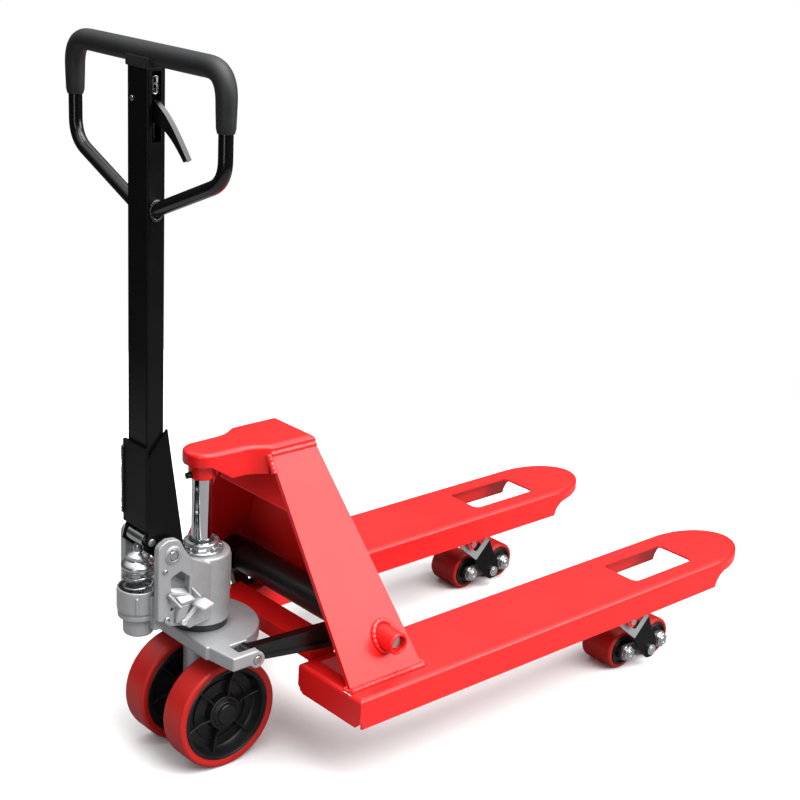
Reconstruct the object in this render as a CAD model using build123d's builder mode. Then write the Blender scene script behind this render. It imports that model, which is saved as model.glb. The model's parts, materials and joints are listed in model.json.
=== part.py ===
"""Hand pallet jack: pump unit on two steer wheels, forks on tandem rollers, pump handle. Millimetres."""

import os
from math import cos, radians, sin

from build123d import *

os.makedirs("parts", exist_ok=True)

# ---------------------------------------------------------------- driving sizes
SIDES = {"left": 1, "right": -1}

# Forks. X runs from the handle end to the fork tips, and the origin is the middle of the footprint.
OVERALL_LENGTH = 1221
OVERALL_WIDTH = 550
CUP_REACH = 150  # kingpin axis to the front of the pump cup
KINGPIN_X = CUP_REACH - OVERALL_LENGTH / 2
FORK_WIDTH = 150
FORK_Y = (OVERALL_WIDTH - FORK_WIDTH) / 2
FORK_TOP = 171  # part raised: 85 when lowered, 185 when raised
FORK_DEPTH = 50
FORK_BOTTOM = FORK_TOP - FORK_DEPTH
SHEET = 4
HEEL_X = KINGPIN_X + 99
TIP_X = KINGPIN_X + 1071
NOSE_LENGTH = 119
NOSE_X = TIP_X - NOSE_LENGTH
FORK_EDGE_R = 8
OPENING_X = KINGPIN_X + 844.5
OPENING_LENGTH = 157
OPENING_WIDTH = 80
BRACE_X = KINGPIN_X + 121
BRACE_DEPTH = 50
BRACE_TOP = 193
BRACE_FACE = 27

# Side plates lean in from the fork tops to the head.
PLATE = 8
PLATE_FOOT_Y = 244
PLATE_HEAD_Y = 52
PLATE_HEAD_Z = 496
PLATE_FOOT_REAR_X = KINGPIN_X + 106
PLATE_FOOT_FRONT_X = KINGPIN_X + 251
PLATE_HEAD_REAR_X = KINGPIN_X + 90
PLATE_HEAD_FRONT_X = KINGPIN_X + 178
PLATE_RUN = (PLATE_FOOT_Y - PLATE_HEAD_Y) / (PLATE_HEAD_Z - FORK_TOP)  # sideways lean per height
PLATE_SPAN = PLATE * (1 + PLATE_RUN**2) ** 0.5  # thickness measured level
WELD = 5

# Head, piston and collar.
HEAD_TOP = 510
NOSE_R = 34
NOSE_BOTTOM = 484
NECK_BOTTOM = 464
HEAD_FILLET = 8
COLLAR_R = 24
COLLAR_BOTTOM = 460
ROD_R = 16
ROD_BOTTOM = 300

# Rocker that joins the thrust plate to the push rods.
SHAFT_X = KINGPIN_X + 196
SHAFT_Z = 225
SHAFT_R = 12
BUSH_R = 18
BUSH_OUT = 248
BUSH_IN = 185
TUBE_R = 27
HUB_R = 27
HUB_IN = 142
HUB_OUT = 182
ROD_Y = 173  # centre of crank, push rod and leg lug
LINK = 14  # thickness of crank and lug
CRANK = 80
CRANK_DEG = 10.08
CRANK_PIN_X = SHAFT_X + CRANK * sin(radians(CRANK_DEG))
CRANK_PIN_Z = SHAFT_Z - CRANK * cos(radians(CRANK_DEG))
CRANK_PIN_R = 6

# Thrust plate under the pump.
PLATE_TOP = 222
PLATE_BOTTOM = 200
DISC_R = 92
EAR_X = KINGPIN_X + 12
EAR_Z = 206
EAR_R = 13.5
EAR_OUT = 134
EAR_IN = 120
EYE_IN = 95
EYE_OUT = 119
EAR_PIN_R = 7
STEM_R = 26
RUN = 0.05  # radial running clearance

# Load legs, bogies and rollers.
PIVOT_X = KINGPIN_X + 736
PIVOT_Z = 112
BOGIE_X = KINGPIN_X + 803
ROLLER_R = 35
ROLLER_PITCH = 90
ROLLER_WIDTH = 70
LUG = 40
LUG_DEG = 21.07
LUG_PIN_X = PIVOT_X + LUG * sin(radians(LUG_DEG))
LUG_PIN_Z = PIVOT_Z + LUG * cos(radians(LUG_DEG))
LUG_PIN_R = 5
PIN_R = 6
EAR_PLATE_OUT = 67
EAR_PLATE = 6
LEG_OUT = 60
LEG_PLATE = 6
BOGIE_OUT = 44
BOGIE_PLATE = 6

# Steer wheels.
WHEEL_R = 90
WHEEL_WIDTH = 50
WHEEL_Y = 53
AXLE_R = 12
AXLE_HALF = 72

# Pump.
PUMP_BOTTOM = 232
PUMP_TOP = 341
PUMP_R = 45
CUP_X = KINGPIN_X - 115
CUP_R = 35
CUP_RIM = 320
CUP_BOTTOM = 261
CUP_FLOOR = 268
CUP_BORE = 30
GUIDE_TOP = 292
GUIDE_R = 14
PLUNGER_R = 9
CAP_R = 25
CAP_BOTTOM = 345
SPRING_R = 20
SPRING_WIRE_R = 2.3

# Handle. The pivot is its hinge on the pump, and the press roller pushes the plunger.
HINGE_X = KINGPIN_X - 88
HINGE_Z = 375
HINGE_R = 8
PRESS_X = KINGPIN_X - 112
PRESS_Z = 394
PRESS_R = 11
BAR_WIDTH = 50
BAR_DEPTH = 30
BAR_X = KINGPIN_X - 102
BAR_BOTTOM = 420
BAR_WALL = 3
LOOP_R = 10
LOOP_HALF = 184
LOOP_TOP = 1102
LOOP_LOW = 957
LOOP_FOOT = 890
GRIP_R = 15.5
GRIP_END = 1020
BRACKET = 5
LEVER_Y = 12
LEVER_Z = 1040
PULL_Y = -6


def save(piece, name):
    """Labels one finished sub-part and writes its STEP file."""
    piece.part.label = name
    export_step(piece.part, f"parts/{name}.step")


def rod_y(radius, x, z, y_from, y_to, mode=Mode.ADD):
    """A round bar along Y between two Y values."""
    low, high = min(y_from, y_to), max(y_from, y_to)
    with BuildSketch(Plane.XZ.offset(-high)) as outline:
        with Locations((x, z)):
            Circle(radius)
    extrude(outline.sketch, amount=high - low, mode=mode)


def plate_xz(points, y_from, y_to, mode=Mode.ADD):
    """A flat plate with a side outline of (x, z) points, between two Y values."""
    low, high = min(y_from, y_to), max(y_from, y_to)
    with BuildSketch(Plane.XZ.offset(-high)) as outline:
        Polygon(*points, align=None)
    extrude(outline.sketch, amount=high - low, mode=mode)


def link_xz(x1, z1, r1, x2, z2, r2, y_from, y_to):
    """A flat link with two round ends, between two Y values."""
    low, high = min(y_from, y_to), max(y_from, y_to)
    with BuildSketch(Plane.XZ.offset(-high)) as outline:
        with Locations((x1, z1)):
            Circle(r1)
        with Locations((x2, z2)):
            Circle(r2)
        make_hull()
    extrude(outline.sketch, amount=high - low)


def plate_y(z):
    """Distance of a side plate's outer face from the middle plane at a height."""
    return PLATE_FOOT_Y - (z - FORK_TOP) * PLATE_RUN


def front_x(z):
    """X of the side plates' load-side edge at a height."""
    share = (z - FORK_TOP) / (PLATE_HEAD_Z - FORK_TOP)
    return PLATE_FOOT_FRONT_X + share * (PLATE_HEAD_FRONT_X - PLATE_FOOT_FRONT_X)


def rear_x(z):
    """X of the side plates' handle-side edge at a height."""
    share = (z - FORK_TOP) / (PLATE_HEAD_Z - FORK_TOP)
    return PLATE_FOOT_REAR_X + share * (PLATE_HEAD_REAR_X - PLATE_FOOT_REAR_X)


# ---------------------------------------------------------------- frame
def fork(side, name):
    """Channel-section fork with a rounded nose, roller opening and closed heel."""
    y = side * FORK_Y
    with BuildPart() as piece:
        for wall, top, mode in ((0, FORK_TOP, Mode.ADD), (SHEET, FORK_TOP - SHEET, Mode.SUBTRACT)):
            with BuildSketch(Plane.XY.offset(FORK_BOTTOM)):
                with Locations(((HEEL_X + wall + NOSE_X) / 2, y)):
                    Rectangle(NOSE_X - HEEL_X - wall, FORK_WIDTH - 2 * wall)
                with Locations((NOSE_X, y)):
                    Ellipse(NOSE_LENGTH - wall, FORK_WIDTH / 2 - wall)
            extrude(amount=top - FORK_BOTTOM, mode=mode)
            if wall == 0:
                fillet(piece.faces().sort_by(Axis.Z)[-1].edges(), FORK_EDGE_R)
        # the skirt rises towards the nose in a shallow hollow curve
        with BuildSketch(Plane.XZ.offset(-y - FORK_WIDTH)):
            with BuildLine():
                start = (TIP_X - 116, FORK_BOTTOM)
                ThreePointArc(start, (TIP_X - 107, FORK_BOTTOM + 18), (TIP_X - 90, FORK_BOTTOM + 26))
                Polyline(
                    (TIP_X - 90, FORK_BOTTOM + 26),
                    (TIP_X + 10, FORK_BOTTOM + 31),
                    (TIP_X + 10, FORK_BOTTOM - 5),
                    (TIP_X - 116, FORK_BOTTOM - 5),
                    start,
                )
            make_face()
        extrude(amount=2 * FORK_WIDTH, mode=Mode.SUBTRACT)
        # lower corners of the heel plate are cut off
        with BuildSketch(Plane.YZ.offset(HEEL_X - 1)):
            for edge in (-1, 1):
                corner = y + edge * (FORK_WIDTH / 2 + 1)
                Polygon(
                    (corner, FORK_BOTTOM - 1),
                    (corner - edge * 14, FORK_BOTTOM - 1),
                    (corner, FORK_BOTTOM + 13),
                    align=None,
                )
        extrude(amount=SHEET + 1, mode=Mode.SUBTRACT)
        with BuildSketch(Plane.XY.offset(FORK_TOP - SHEET - 1)):
            with Locations((OPENING_X, y)):
                RectangleRounded(OPENING_LENGTH, OPENING_WIDTH, 12)
            with Locations((KINGPIN_X + 187, y - side * 12)):
                Rectangle(118, 92)
            # the side plate stands in this slot with its welds
            with Locations(((PLATE_FOOT_REAR_X + PLATE_FOOT_FRONT_X) / 2, side * (PLATE_FOOT_Y - PLATE_SPAN / 2))):
                slot_length = PLATE_FOOT_FRONT_X - PLATE_FOOT_REAR_X + 2 * WELD
                Rectangle(slot_length, PLATE_SPAN + 2 * WELD)
        extrude(amount=SHEET + 3, mode=Mode.SUBTRACT)
    save(piece, name)
    return piece


def fork_stiffeners():
    """Flat bars welded along the inside of each fork skirt, and the folded brace between the forks."""
    with BuildPart() as piece:
        for side in SIDES.values():
            for edge in (-1, 1):
                wall_y = side * FORK_Y + edge * (FORK_WIDTH / 2 - SHEET)
                plate_xz(
                    [
                        (PIVOT_X - 110, FORK_BOTTOM + 6),
                        (OPENING_X + 48, FORK_BOTTOM + 6),
                        (OPENING_X + 60, FORK_BOTTOM + 20),
                        (OPENING_X + 60, FORK_TOP - SHEET),
                        (PIVOT_X - 110, FORK_TOP - SHEET),
                    ],
                    wall_y,
                    wall_y - edge * SHEET,
                )
        # folded brace across the gap between the forks, under the rocker tube
        inner = FORK_Y - FORK_WIDTH / 2
        plate_xz(
            [
                (BRACE_X, FORK_BOTTOM + 10),
                (BRACE_X, BRACE_TOP),
                (BRACE_X + BRACE_DEPTH, BRACE_TOP),
                (BRACE_X + BRACE_DEPTH, FORK_BOTTOM + 10),
            ],
            -inner,
            inner,
        )
        plate_xz(
            [
                (BRACE_X + SHEET, FORK_BOTTOM),
                (BRACE_X + SHEET, BRACE_TOP - SHEET),
                (BRACE_X + BRACE_DEPTH + 1, BRACE_TOP - SHEET),
                (BRACE_X + BRACE_DEPTH + 1, FORK_BOTTOM),
            ],
            -inner + SHEET,
            inner - SHEET,
            Mode.SUBTRACT,
        )
        plate_xz(
            [
                (BRACE_X - 1, FORK_BOTTOM),
                (BRACE_X - 1, BRACE_TOP - BRACE_FACE),
                (BRACE_X + SHEET + 1, BRACE_TOP - BRACE_FACE),
                (BRACE_X + SHEET + 1, FORK_BOTTOM),
            ],
            -inner + SHEET,
            inner - SHEET,
            Mode.SUBTRACT,
        )
    save(piece, "fork_stiffeners")
    return piece


def side_plate(side, name):
    """Flat plate that leans in from the fork top to the head, with the shaft bush hole."""
    foot_z = FORK_TOP - SHEET
    corners = (
        (rear_x(foot_z), side * plate_y(foot_z), foot_z),
        (front_x(foot_z), side * plate_y(foot_z), foot_z),
        (PLATE_HEAD_FRONT_X, side * PLATE_HEAD_Y, PLATE_HEAD_Z),
        (PLATE_HEAD_REAR_X, side * PLATE_HEAD_Y, PLATE_HEAD_Z),
    )
    with BuildPart() as piece:
        with BuildSketch(Plane(origin=corners[0], x_dir=(1, 0, 0), z_dir=(0, side, PLATE_RUN))) as face:
            plane = face.workplanes[0]
            local = [plane.to_local_coords(Vector(*corner)) for corner in corners]
            Polygon(*[(point.X, point.Y) for point in local], align=None)
        extrude(amount=PLATE_SPAN, dir=(0, -side, 0))
        rod_y(BUSH_R, SHAFT_X, SHAFT_Z, 0, side * 300, Mode.SUBTRACT)
    save(piece, name)
    return piece


def front_plate():
    """Sloping plate between the side plates that backs the load, thicker under the head."""
    with BuildPart() as piece:
        for low, high, depth in ((FORK_TOP + 8, PLATE_HEAD_Z, 5), (PLATE_HEAD_Z - 75, PLATE_HEAD_Z, 10)):
            corners = [
                (front_x(z) - 3, y * (plate_y(z) - PLATE_SPAN), z)
                for z, y in ((low, -1), (low, 1), (high, 1), (high, -1))
            ]
            slope = (front_x(low) - front_x(high)) / (high - low)
            with BuildSketch(Plane(origin=corners[0], x_dir=(0, 1, 0), z_dir=(1, 0, slope))) as face:
                plane = face.workplanes[0]
                local = [plane.to_local_coords(Vector(*corner)) for corner in corners]
                Polygon(*[(point.X, point.Y) for point in local], align=None)
            extrude(amount=depth, dir=(-1, 0, 0))
    save(piece, "front_plate")
    return piece


def head():
    """Pressed head: a cap across the side plates that narrows to a round nose over the piston."""
    with BuildPart() as piece:
        with BuildSketch(Plane.XY.offset(NECK_BOTTOM)):
            with BuildLine():
                neck = (KINGPIN_X + 46, NOSE_R)
                shoulder = (PLATE_HEAD_REAR_X, PLATE_HEAD_Y)
                Polyline(shoulder, (PLATE_HEAD_FRONT_X, PLATE_HEAD_Y), (PLATE_HEAD_FRONT_X, -PLATE_HEAD_Y),
                         (PLATE_HEAD_REAR_X, -PLATE_HEAD_Y))
                for flip in (1, -1):
                    TangentArc(
                        (neck[0], flip * neck[1]),
                        (KINGPIN_X + 74, flip * (NOSE_R + 8)),
                        tangent=(1, 0),
                    )
                    Line((KINGPIN_X + 74, flip * (NOSE_R + 8)), (shoulder[0], flip * shoulder[1]))
                    Line((KINGPIN_X, flip * NOSE_R), (neck[0], flip * neck[1]))
                ThreePointArc((KINGPIN_X, NOSE_R), (KINGPIN_X - NOSE_R, 0), (KINGPIN_X, -NOSE_R))
            make_face()
        extrude(amount=HEAD_TOP - NECK_BOTTOM)
        # only the top lies over the side plates, and the nose is shallower than the neck
        cap_x = PLATE_HEAD_REAR_X - 0.5
        plate_xz(
            [(cap_x, 400), (cap_x, PLATE_HEAD_Z), (KINGPIN_X + 300, PLATE_HEAD_Z), (KINGPIN_X + 300, 400)],
            -80,
            80,
            Mode.SUBTRACT,
        )
        plate_xz(
            [
                (KINGPIN_X - 60, NOSE_BOTTOM),
                (KINGPIN_X - 6, NOSE_BOTTOM),
                (KINGPIN_X + 32, NECK_BOTTOM),
                (KINGPIN_X + 32, 400),
                (KINGPIN_X - 60, 400),
            ],
            -80,
            80,
            Mode.SUBTRACT,
        )
        fillet(piece.faces().sort_by(Axis.Z)[-1].edges(), HEAD_FILLET)
        with BuildSketch(Plane.XY.offset(NECK_BOTTOM - 1)):
            with Locations((KINGPIN_X + 60, 0)):
                Rectangle(46, 2 * NOSE_R - 12)
        extrude(amount=HEAD_TOP - NECK_BOTTOM - 8, mode=Mode.SUBTRACT)
        with BuildSketch(Plane.XY.offset(NECK_BOTTOM - 1)):
            with Locations((KINGPIN_X, 0)):
                Circle(ROD_R)
        extrude(amount=HEAD_TOP - NECK_BOTTOM - 11, mode=Mode.SUBTRACT)
    save(piece, "head")
    return piece


def piston_parts():
    """Collar under the nose, its black lock screw and the chrome piston rod."""
    centre = (KINGPIN_X, 0)
    screw_z = COLLAR_BOTTOM + 11
    with BuildPart() as collar:
        with BuildSketch(Plane.XY.offset(COLLAR_BOTTOM)):
            with Locations(centre):
                Circle(COLLAR_R)
                Circle(ROD_R, mode=Mode.SUBTRACT)
        extrude(amount=NOSE_BOTTOM - COLLAR_BOTTOM)
        chamfer(collar.faces().sort_by(Axis.Z)[0].edges().sort_by(Edge.length)[-1], 2)
        plate_xz(
            [
                (KINGPIN_X - 6, NOSE_BOTTOM),
                (KINGPIN_X + 32, NECK_BOTTOM),
                (KINGPIN_X + 32, NOSE_BOTTOM + 1),
                (KINGPIN_X - 6, NOSE_BOTTOM + 1),
            ],
            -60,
            60,
            Mode.SUBTRACT,
        )
        with BuildSketch(Plane.YZ.offset(KINGPIN_X - COLLAR_R - 5)):
            with Locations((0, screw_z)):
                Circle(5)
        extrude(amount=COLLAR_R - ROD_R + 6, mode=Mode.SUBTRACT)
    save(collar, "piston_collar")
    with BuildPart() as screw:
        with BuildSketch(Plane.YZ.offset(KINGPIN_X - COLLAR_R - 5)):
            with Locations((0, screw_z)):
                Circle(5)
        extrude(amount=COLLAR_R - ROD_R + 5)
        with BuildSketch(Plane.YZ.offset(KINGPIN_X - COLLAR_R - 5)):
            with Locations((0, screw_z)):
                RegularPolygon(2.6, 6)
        extrude(amount=4, mode=Mode.SUBTRACT)
    save(screw, "piston_lock_screw")
    with BuildPart() as rod:
        with BuildSketch(Plane.XY.offset(ROD_BOTTOM)):
            with Locations(centre):
                Circle(ROD_R)
        extrude(amount=HEAD_TOP - 12 - ROD_BOTTOM)
        chamfer(rod.faces().sort_by(Axis.Z)[0].edges(), 2)
    save(rod, "piston_rod")
    return collar


def shaft_bushes():
    """Short tubes through the side plates that carry the rocker shafts."""
    with BuildPart() as piece:
        for side in SIDES.values():
            rod_y(BUSH_R, SHAFT_X, SHAFT_Z, side * BUSH_IN, side * BUSH_OUT)
            rod_y(SHAFT_R + RUN, SHAFT_X, SHAFT_Z, side * BUSH_IN, side * BUSH_OUT, Mode.SUBTRACT)
    save(piece, "shaft_bushes")
    return piece


def leg_ears():
    """Pointed plates inside the fork skirts that hold the leg pivot pins."""
    with BuildPart() as piece:
        for side in SIDES.values():
            for edge in (-1, 1):
                out = side * FORK_Y + edge * EAR_PLATE_OUT
                inner = out - edge * EAR_PLATE
                with BuildSketch(Plane.XZ.offset(-max(out, inner))):
                    with Locations((PIVOT_X, PIVOT_Z)):
                        Circle(11)
                    with Locations((PIVOT_X, FORK_TOP - 20)):
                        Rectangle(56, 24)
                    make_hull()
                extrude(amount=EAR_PLATE)
                rod_y(PIN_R, PIVOT_X, PIVOT_Z, out, inner, Mode.SUBTRACT)
    save(piece, "leg_ears")
    return piece


def leg_pivot_pins():
    """One pin across each fork, on which its load leg turns."""
    with BuildPart() as piece:
        for side in SIDES.values():
            y = side * FORK_Y
            rod_y(PIN_R, PIVOT_X, PIVOT_Z, y - EAR_PLATE_OUT - 2, y + EAR_PLATE_OUT + 2)
    save(piece, "leg_pivot_pins")
    return piece


def weld_beads(plates, forks, bushes):
    """Weld runs along the feet of the side plates and round the shaft bushes."""
    with BuildPart() as piece:
        length = PLATE_FOOT_FRONT_X - PLATE_FOOT_REAR_X + 2 * WELD - 1
        for side in SIDES.values():
            for y in (PLATE_FOOT_Y + 0.5, PLATE_FOOT_Y - PLATE_SPAN - 0.5):
                with BuildSketch(Plane.YZ.offset(PLATE_FOOT_REAR_X - WELD + 0.5)):
                    with Locations((side * y, FORK_TOP)):
                        Ellipse(WELD - 0.8, WELD - 1)
                extrude(amount=length)
            seat_y = side * (plate_y(SHAFT_Z) - PLATE_SPAN / 2)
            plane = Plane(origin=(SHAFT_X, seat_y, SHAFT_Z), x_dir=(1, 0, 0), z_dir=(0, side, PLATE_RUN))
            with BuildSketch(plane):
                Circle(BUSH_R + 6)
                Circle(BUSH_R - 3, mode=Mode.SUBTRACT)
            extrude(amount=PLATE / 2 + 3)
        for other in (*plates, *forks, bushes):
            add(other.part, mode=Mode.SUBTRACT)
        for side in SIDES.values():
            rod_y(BUSH_R, SHAFT_X, SHAFT_Z, side * 150, side * 300, Mode.SUBTRACT)
    save(piece, "weld_beads")


# ---------------------------------------------------------------- base and rocker
def thrust_plate():
    """Forged plate under the pump: a disc with two wings that end in lugs for the rocker arms."""
    with BuildPart() as piece:
        with BuildSketch(Plane.XY.offset(PLATE_BOTTOM)):
            with Locations((KINGPIN_X, 0)):
                Circle(DISC_R)
            with BuildLine():
                Polyline(
                    (KINGPIN_X - 34, EAR_OUT),
                    (KINGPIN_X + 14, EAR_OUT),
                    (KINGPIN_X + 22, EYE_IN),
                    (KINGPIN_X + 22, -EYE_IN),
                    (KINGPIN_X + 14, -EAR_OUT),
                    (KINGPIN_X - 34, -EAR_OUT),
                )
                ThreePointArc((KINGPIN_X - 34, -EAR_OUT), (KINGPIN_X - 46, 0), (KINGPIN_X - 34, EAR_OUT))
            make_face()
            with Locations((KINGPIN_X - 46 - 60, 0)):
                Rectangle(120, 180, mode=Mode.SUBTRACT)
        extrude(amount=PLATE_TOP - PLATE_BOTTOM)
        fillet(piece.faces().sort_by(Axis.Z)[-1].edges(), 2.5)
        for side in SIDES.values():
            rod_y(EAR_R, EAR_X, EAR_Z, side * EAR_IN, side * EAR_OUT)
            rod_y(EAR_R, EAR_X, EAR_Z, side * (EYE_IN - 14), side * EYE_IN)
            with BuildSketch(Plane.XY.offset(PLATE_BOTTOM - 20)):
                with Locations((KINGPIN_X + 44, side * (EYE_IN + EAR_IN) / 2)):
                    Rectangle(116, EAR_IN - EYE_IN)
            extrude(amount=60, mode=Mode.SUBTRACT)
            rod_y(EAR_PIN_R, EAR_X, EAR_Z, side * (EYE_IN - 14), side * EAR_OUT, Mode.SUBTRACT)
        with BuildSketch(Plane.XY.offset(PLATE_BOTTOM - 20)):
            with Locations((KINGPIN_X, 0)):
                Circle(STEM_R + RUN)
        extrude(amount=60, mode=Mode.SUBTRACT)
    save(piece, "thrust_plate")


def rocker_pins():
    """Pins in the thrust plate's lugs that the rocker arms' slotted eyes ride on."""
    with BuildPart() as piece:
        for side in SIDES.values():
            rod_y(EAR_PIN_R, EAR_X, EAR_Z, side * (EYE_IN - 13), side * (EAR_OUT + 1))
    save(piece, "rocker_pins")


def thrust_bearing():
    """Ring bearing between the thrust plate and the pump."""
    with BuildPart() as piece:
        with BuildSketch(Plane.XY.offset(PLATE_TOP)):
            with Locations((KINGPIN_X, 0)):
                Circle(PUMP_R - 3)
                Circle(STEM_R + 2, mode=Mode.SUBTRACT)
        extrude(amount=PUMP_BOTTOM - PLATE_TOP - 0.3)
    save(piece, "thrust_bearing")


def rocker_arms():
    """Two forged arms with I-section beams, hubs on the cross tube and cranks for the push rods."""
    eye_y = (EYE_IN + EYE_OUT) / 2 - 2
    hub_y = (HUB_IN + HUB_OUT) / 2 + 3
    half = 8
    with BuildPart() as piece:
        for side in SIDES.values():
            run = Vector(SHAFT_X - EAR_X, side * (hub_y - eye_y), 0)
            across = Vector(-side * run.Y / run.length, side * run.X / run.length, 0)
            plane = Plane(origin=(EAR_X, side * eye_y, 0), x_dir=run.normalized(), z_dir=(-across if side > 0 else across))
            length = run.length
            up = -1 if plane.y_dir.Z < 0 else 1
            outline = [(0, EAR_Z - 12), (length, SHAFT_Z - 24), (length, SHAFT_Z + 20), (0, EAR_Z + 12)]
            pocket = [(26, EAR_Z - 5), (length - 32, SHAFT_Z - 15), (length - 32, SHAFT_Z + 10), (26, EAR_Z + 7)]
            with BuildSketch(plane):
                Polygon(*[(x, up * z) for x, z in outline], align=None)
            extrude(amount=half, both=True)
            for outward in (-1, 1):
                with BuildSketch(plane.offset(outward * half)):
                    Polygon(*[(x, up * z) for x, z in pocket], align=None)
                extrude(amount=-outward * 4.5, mode=Mode.SUBTRACT)
            rod_y(14, EAR_X, EAR_Z, side * (EYE_IN + 0.5), side * (EYE_OUT + 0.5))
            link_xz(EAR_X, EAR_Z, 13, EAR_X - 10, EAR_Z - 1, 12, side * (EYE_IN + 0.5), side * (EYE_OUT + 0.5))
            plate_xz(
                [(EAR_X - 40, 150), (EAR_X + 10, 150), (EAR_X + 10, 260), (EAR_X - 40, 260)],
                side * (EYE_OUT + 0.5), side * 160, Mode.SUBTRACT,
            )
            plate_xz(
                [(EAR_X - 40, 150), (EAR_X + 10, 150), (EAR_X + 10, 260), (EAR_X - 40, 260)],
                side * (EYE_IN + 0.5), side * 40, Mode.SUBTRACT,
            )
            rod_y(HUB_R, SHAFT_X, SHAFT_Z, side * HUB_IN, side * HUB_OUT)
            link_xz(SHAFT_X, SHAFT_Z, 20, CRANK_PIN_X, CRANK_PIN_Z, 11,
                    side * (ROD_Y - LINK / 2), side * (ROD_Y + LINK / 2))
            rod_y(SHAFT_R, SHAFT_X, SHAFT_Z, side * HUB_IN, side * HUB_OUT, Mode.SUBTRACT)
            rod_y(CRANK_PIN_R, CRANK_PIN_X, CRANK_PIN_Z, side * 150, side * 200, Mode.SUBTRACT)
            # slotted eye: the pin slides outwards as the arm swings
            tilt = (SHAFT_Z - EAR_Z) / (SHAFT_X - EAR_X)
            with BuildSketch(Plane.XZ.offset(-max(side * EYE_IN, side * 130))):
                with Locations((EAR_X + 2, EAR_Z + 2 * tilt)):
                    Circle(EAR_PIN_R + 1.6)
                with Locations((EAR_X - 12, EAR_Z - 12 * tilt)):
                    Circle(EAR_PIN_R + 1.6)
                make_hull()
            extrude(amount=130 - EYE_IN, mode=Mode.SUBTRACT)
    save(piece, "rocker_arms")


def rocker_shaft_parts():
    """Cross tube between the arms, the two stub shafts and the crank pins."""
    with BuildPart() as tube:
        rod_y(TUBE_R, SHAFT_X, SHAFT_Z, -HUB_IN, HUB_IN)
        rod_y(TUBE_R - 5, SHAFT_X, SHAFT_Z, -HUB_IN, HUB_IN, Mode.SUBTRACT)
    save(tube, "torsion_tube")
    with BuildPart() as shafts:
        for side in SIDES.values():
            rod_y(SHAFT_R, SHAFT_X, SHAFT_Z, side * (HUB_IN + 2), side * (BUSH_OUT - 4))
    save(shafts, "rocker_shafts")
    with BuildPart() as pins:
        for side in SIDES.values():
            rod_y(CRANK_PIN_R, CRANK_PIN_X, CRANK_PIN_Z, side * (ROD_Y - 16), side * (ROD_Y + 16))
    save(pins, "crank_pins")


def push_rod(side, name):
    """Round bar with a clevis at each end. The load end is slotted round the leg's lug pin."""
    plate = 6
    slot_z = CRANK_PIN_Z + 2.2
    with BuildPart() as piece:
        for edge in (-1, 1):
            inner = side * ROD_Y + edge * (LINK / 2 + 0.5)
            outer = inner + edge * plate
            link_xz(CRANK_PIN_X, CRANK_PIN_Z, 10, CRANK_PIN_X + 40, CRANK_PIN_Z, 10, inner, outer)
            link_xz(LUG_PIN_X, slot_z, 15, LUG_PIN_X - 44, CRANK_PIN_Z, 10, inner, outer)
            rod_y(CRANK_PIN_R + RUN, CRANK_PIN_X, CRANK_PIN_Z, inner, outer, Mode.SUBTRACT)
            with BuildSketch(Plane.XZ.offset(-max(inner, outer))):
                with Locations((LUG_PIN_X, slot_z)):
                    SlotOverall(22, 12, rotation=90)
            extrude(amount=plate, mode=Mode.SUBTRACT)
        with BuildSketch(Plane.YZ.offset(CRANK_PIN_X + 26)):
            with Locations((side * ROD_Y, CRANK_PIN_Z)):
                Circle(9)
        extrude(amount=LUG_PIN_X - CRANK_PIN_X - 56)
    save(piece, name)


# ---------------------------------------------------------------- load legs
def leg(side, name):
    """Load leg: two cheek plates on a cross tube, with the lug that the push rod pulls."""
    y = side * FORK_Y
    with BuildPart() as piece:
        for edge in (-1, 1):
            out, inner = y + edge * LEG_OUT, y + edge * (LEG_OUT - LEG_PLATE)
            link_xz(PIVOT_X, PIVOT_Z, 15, BOGIE_X, ROLLER_R, 13, out, inner)
            rod_y(PIN_R, BOGIE_X, ROLLER_R, out, inner, Mode.SUBTRACT)
        rod_y(12, PIVOT_X, PIVOT_Z, y - LEG_OUT + LEG_PLATE, y + LEG_OUT - LEG_PLATE)
        link_xz(PIVOT_X, PIVOT_Z, 12, LUG_PIN_X, LUG_PIN_Z, 9.5,
                side * (ROD_Y - LINK / 2), side * (ROD_Y + LINK / 2))
        rod_y(PIN_R + RUN, PIVOT_X, PIVOT_Z, y - 80, y + 80, Mode.SUBTRACT)
        rod_y(LUG_PIN_R, LUG_PIN_X, LUG_PIN_Z, side * 150, side * 200, Mode.SUBTRACT)
    save(piece, f"leg_{name}")
    with BuildPart() as pins:
        rod_y(PIN_R, BOGIE_X, ROLLER_R, y - LEG_OUT - 5, y + LEG_OUT + 5)
        rod_y(LUG_PIN_R, LUG_PIN_X, LUG_PIN_Z, side * (ROD_Y - 15), side * (ROD_Y + 15))
        for edge in (-1, 1):
            rod_y(10, BOGIE_X, ROLLER_R, y + edge * (LEG_OUT + 0.01), y + edge * (LEG_OUT + 4))
    save(pins, f"leg_pins_{name}")


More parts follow.
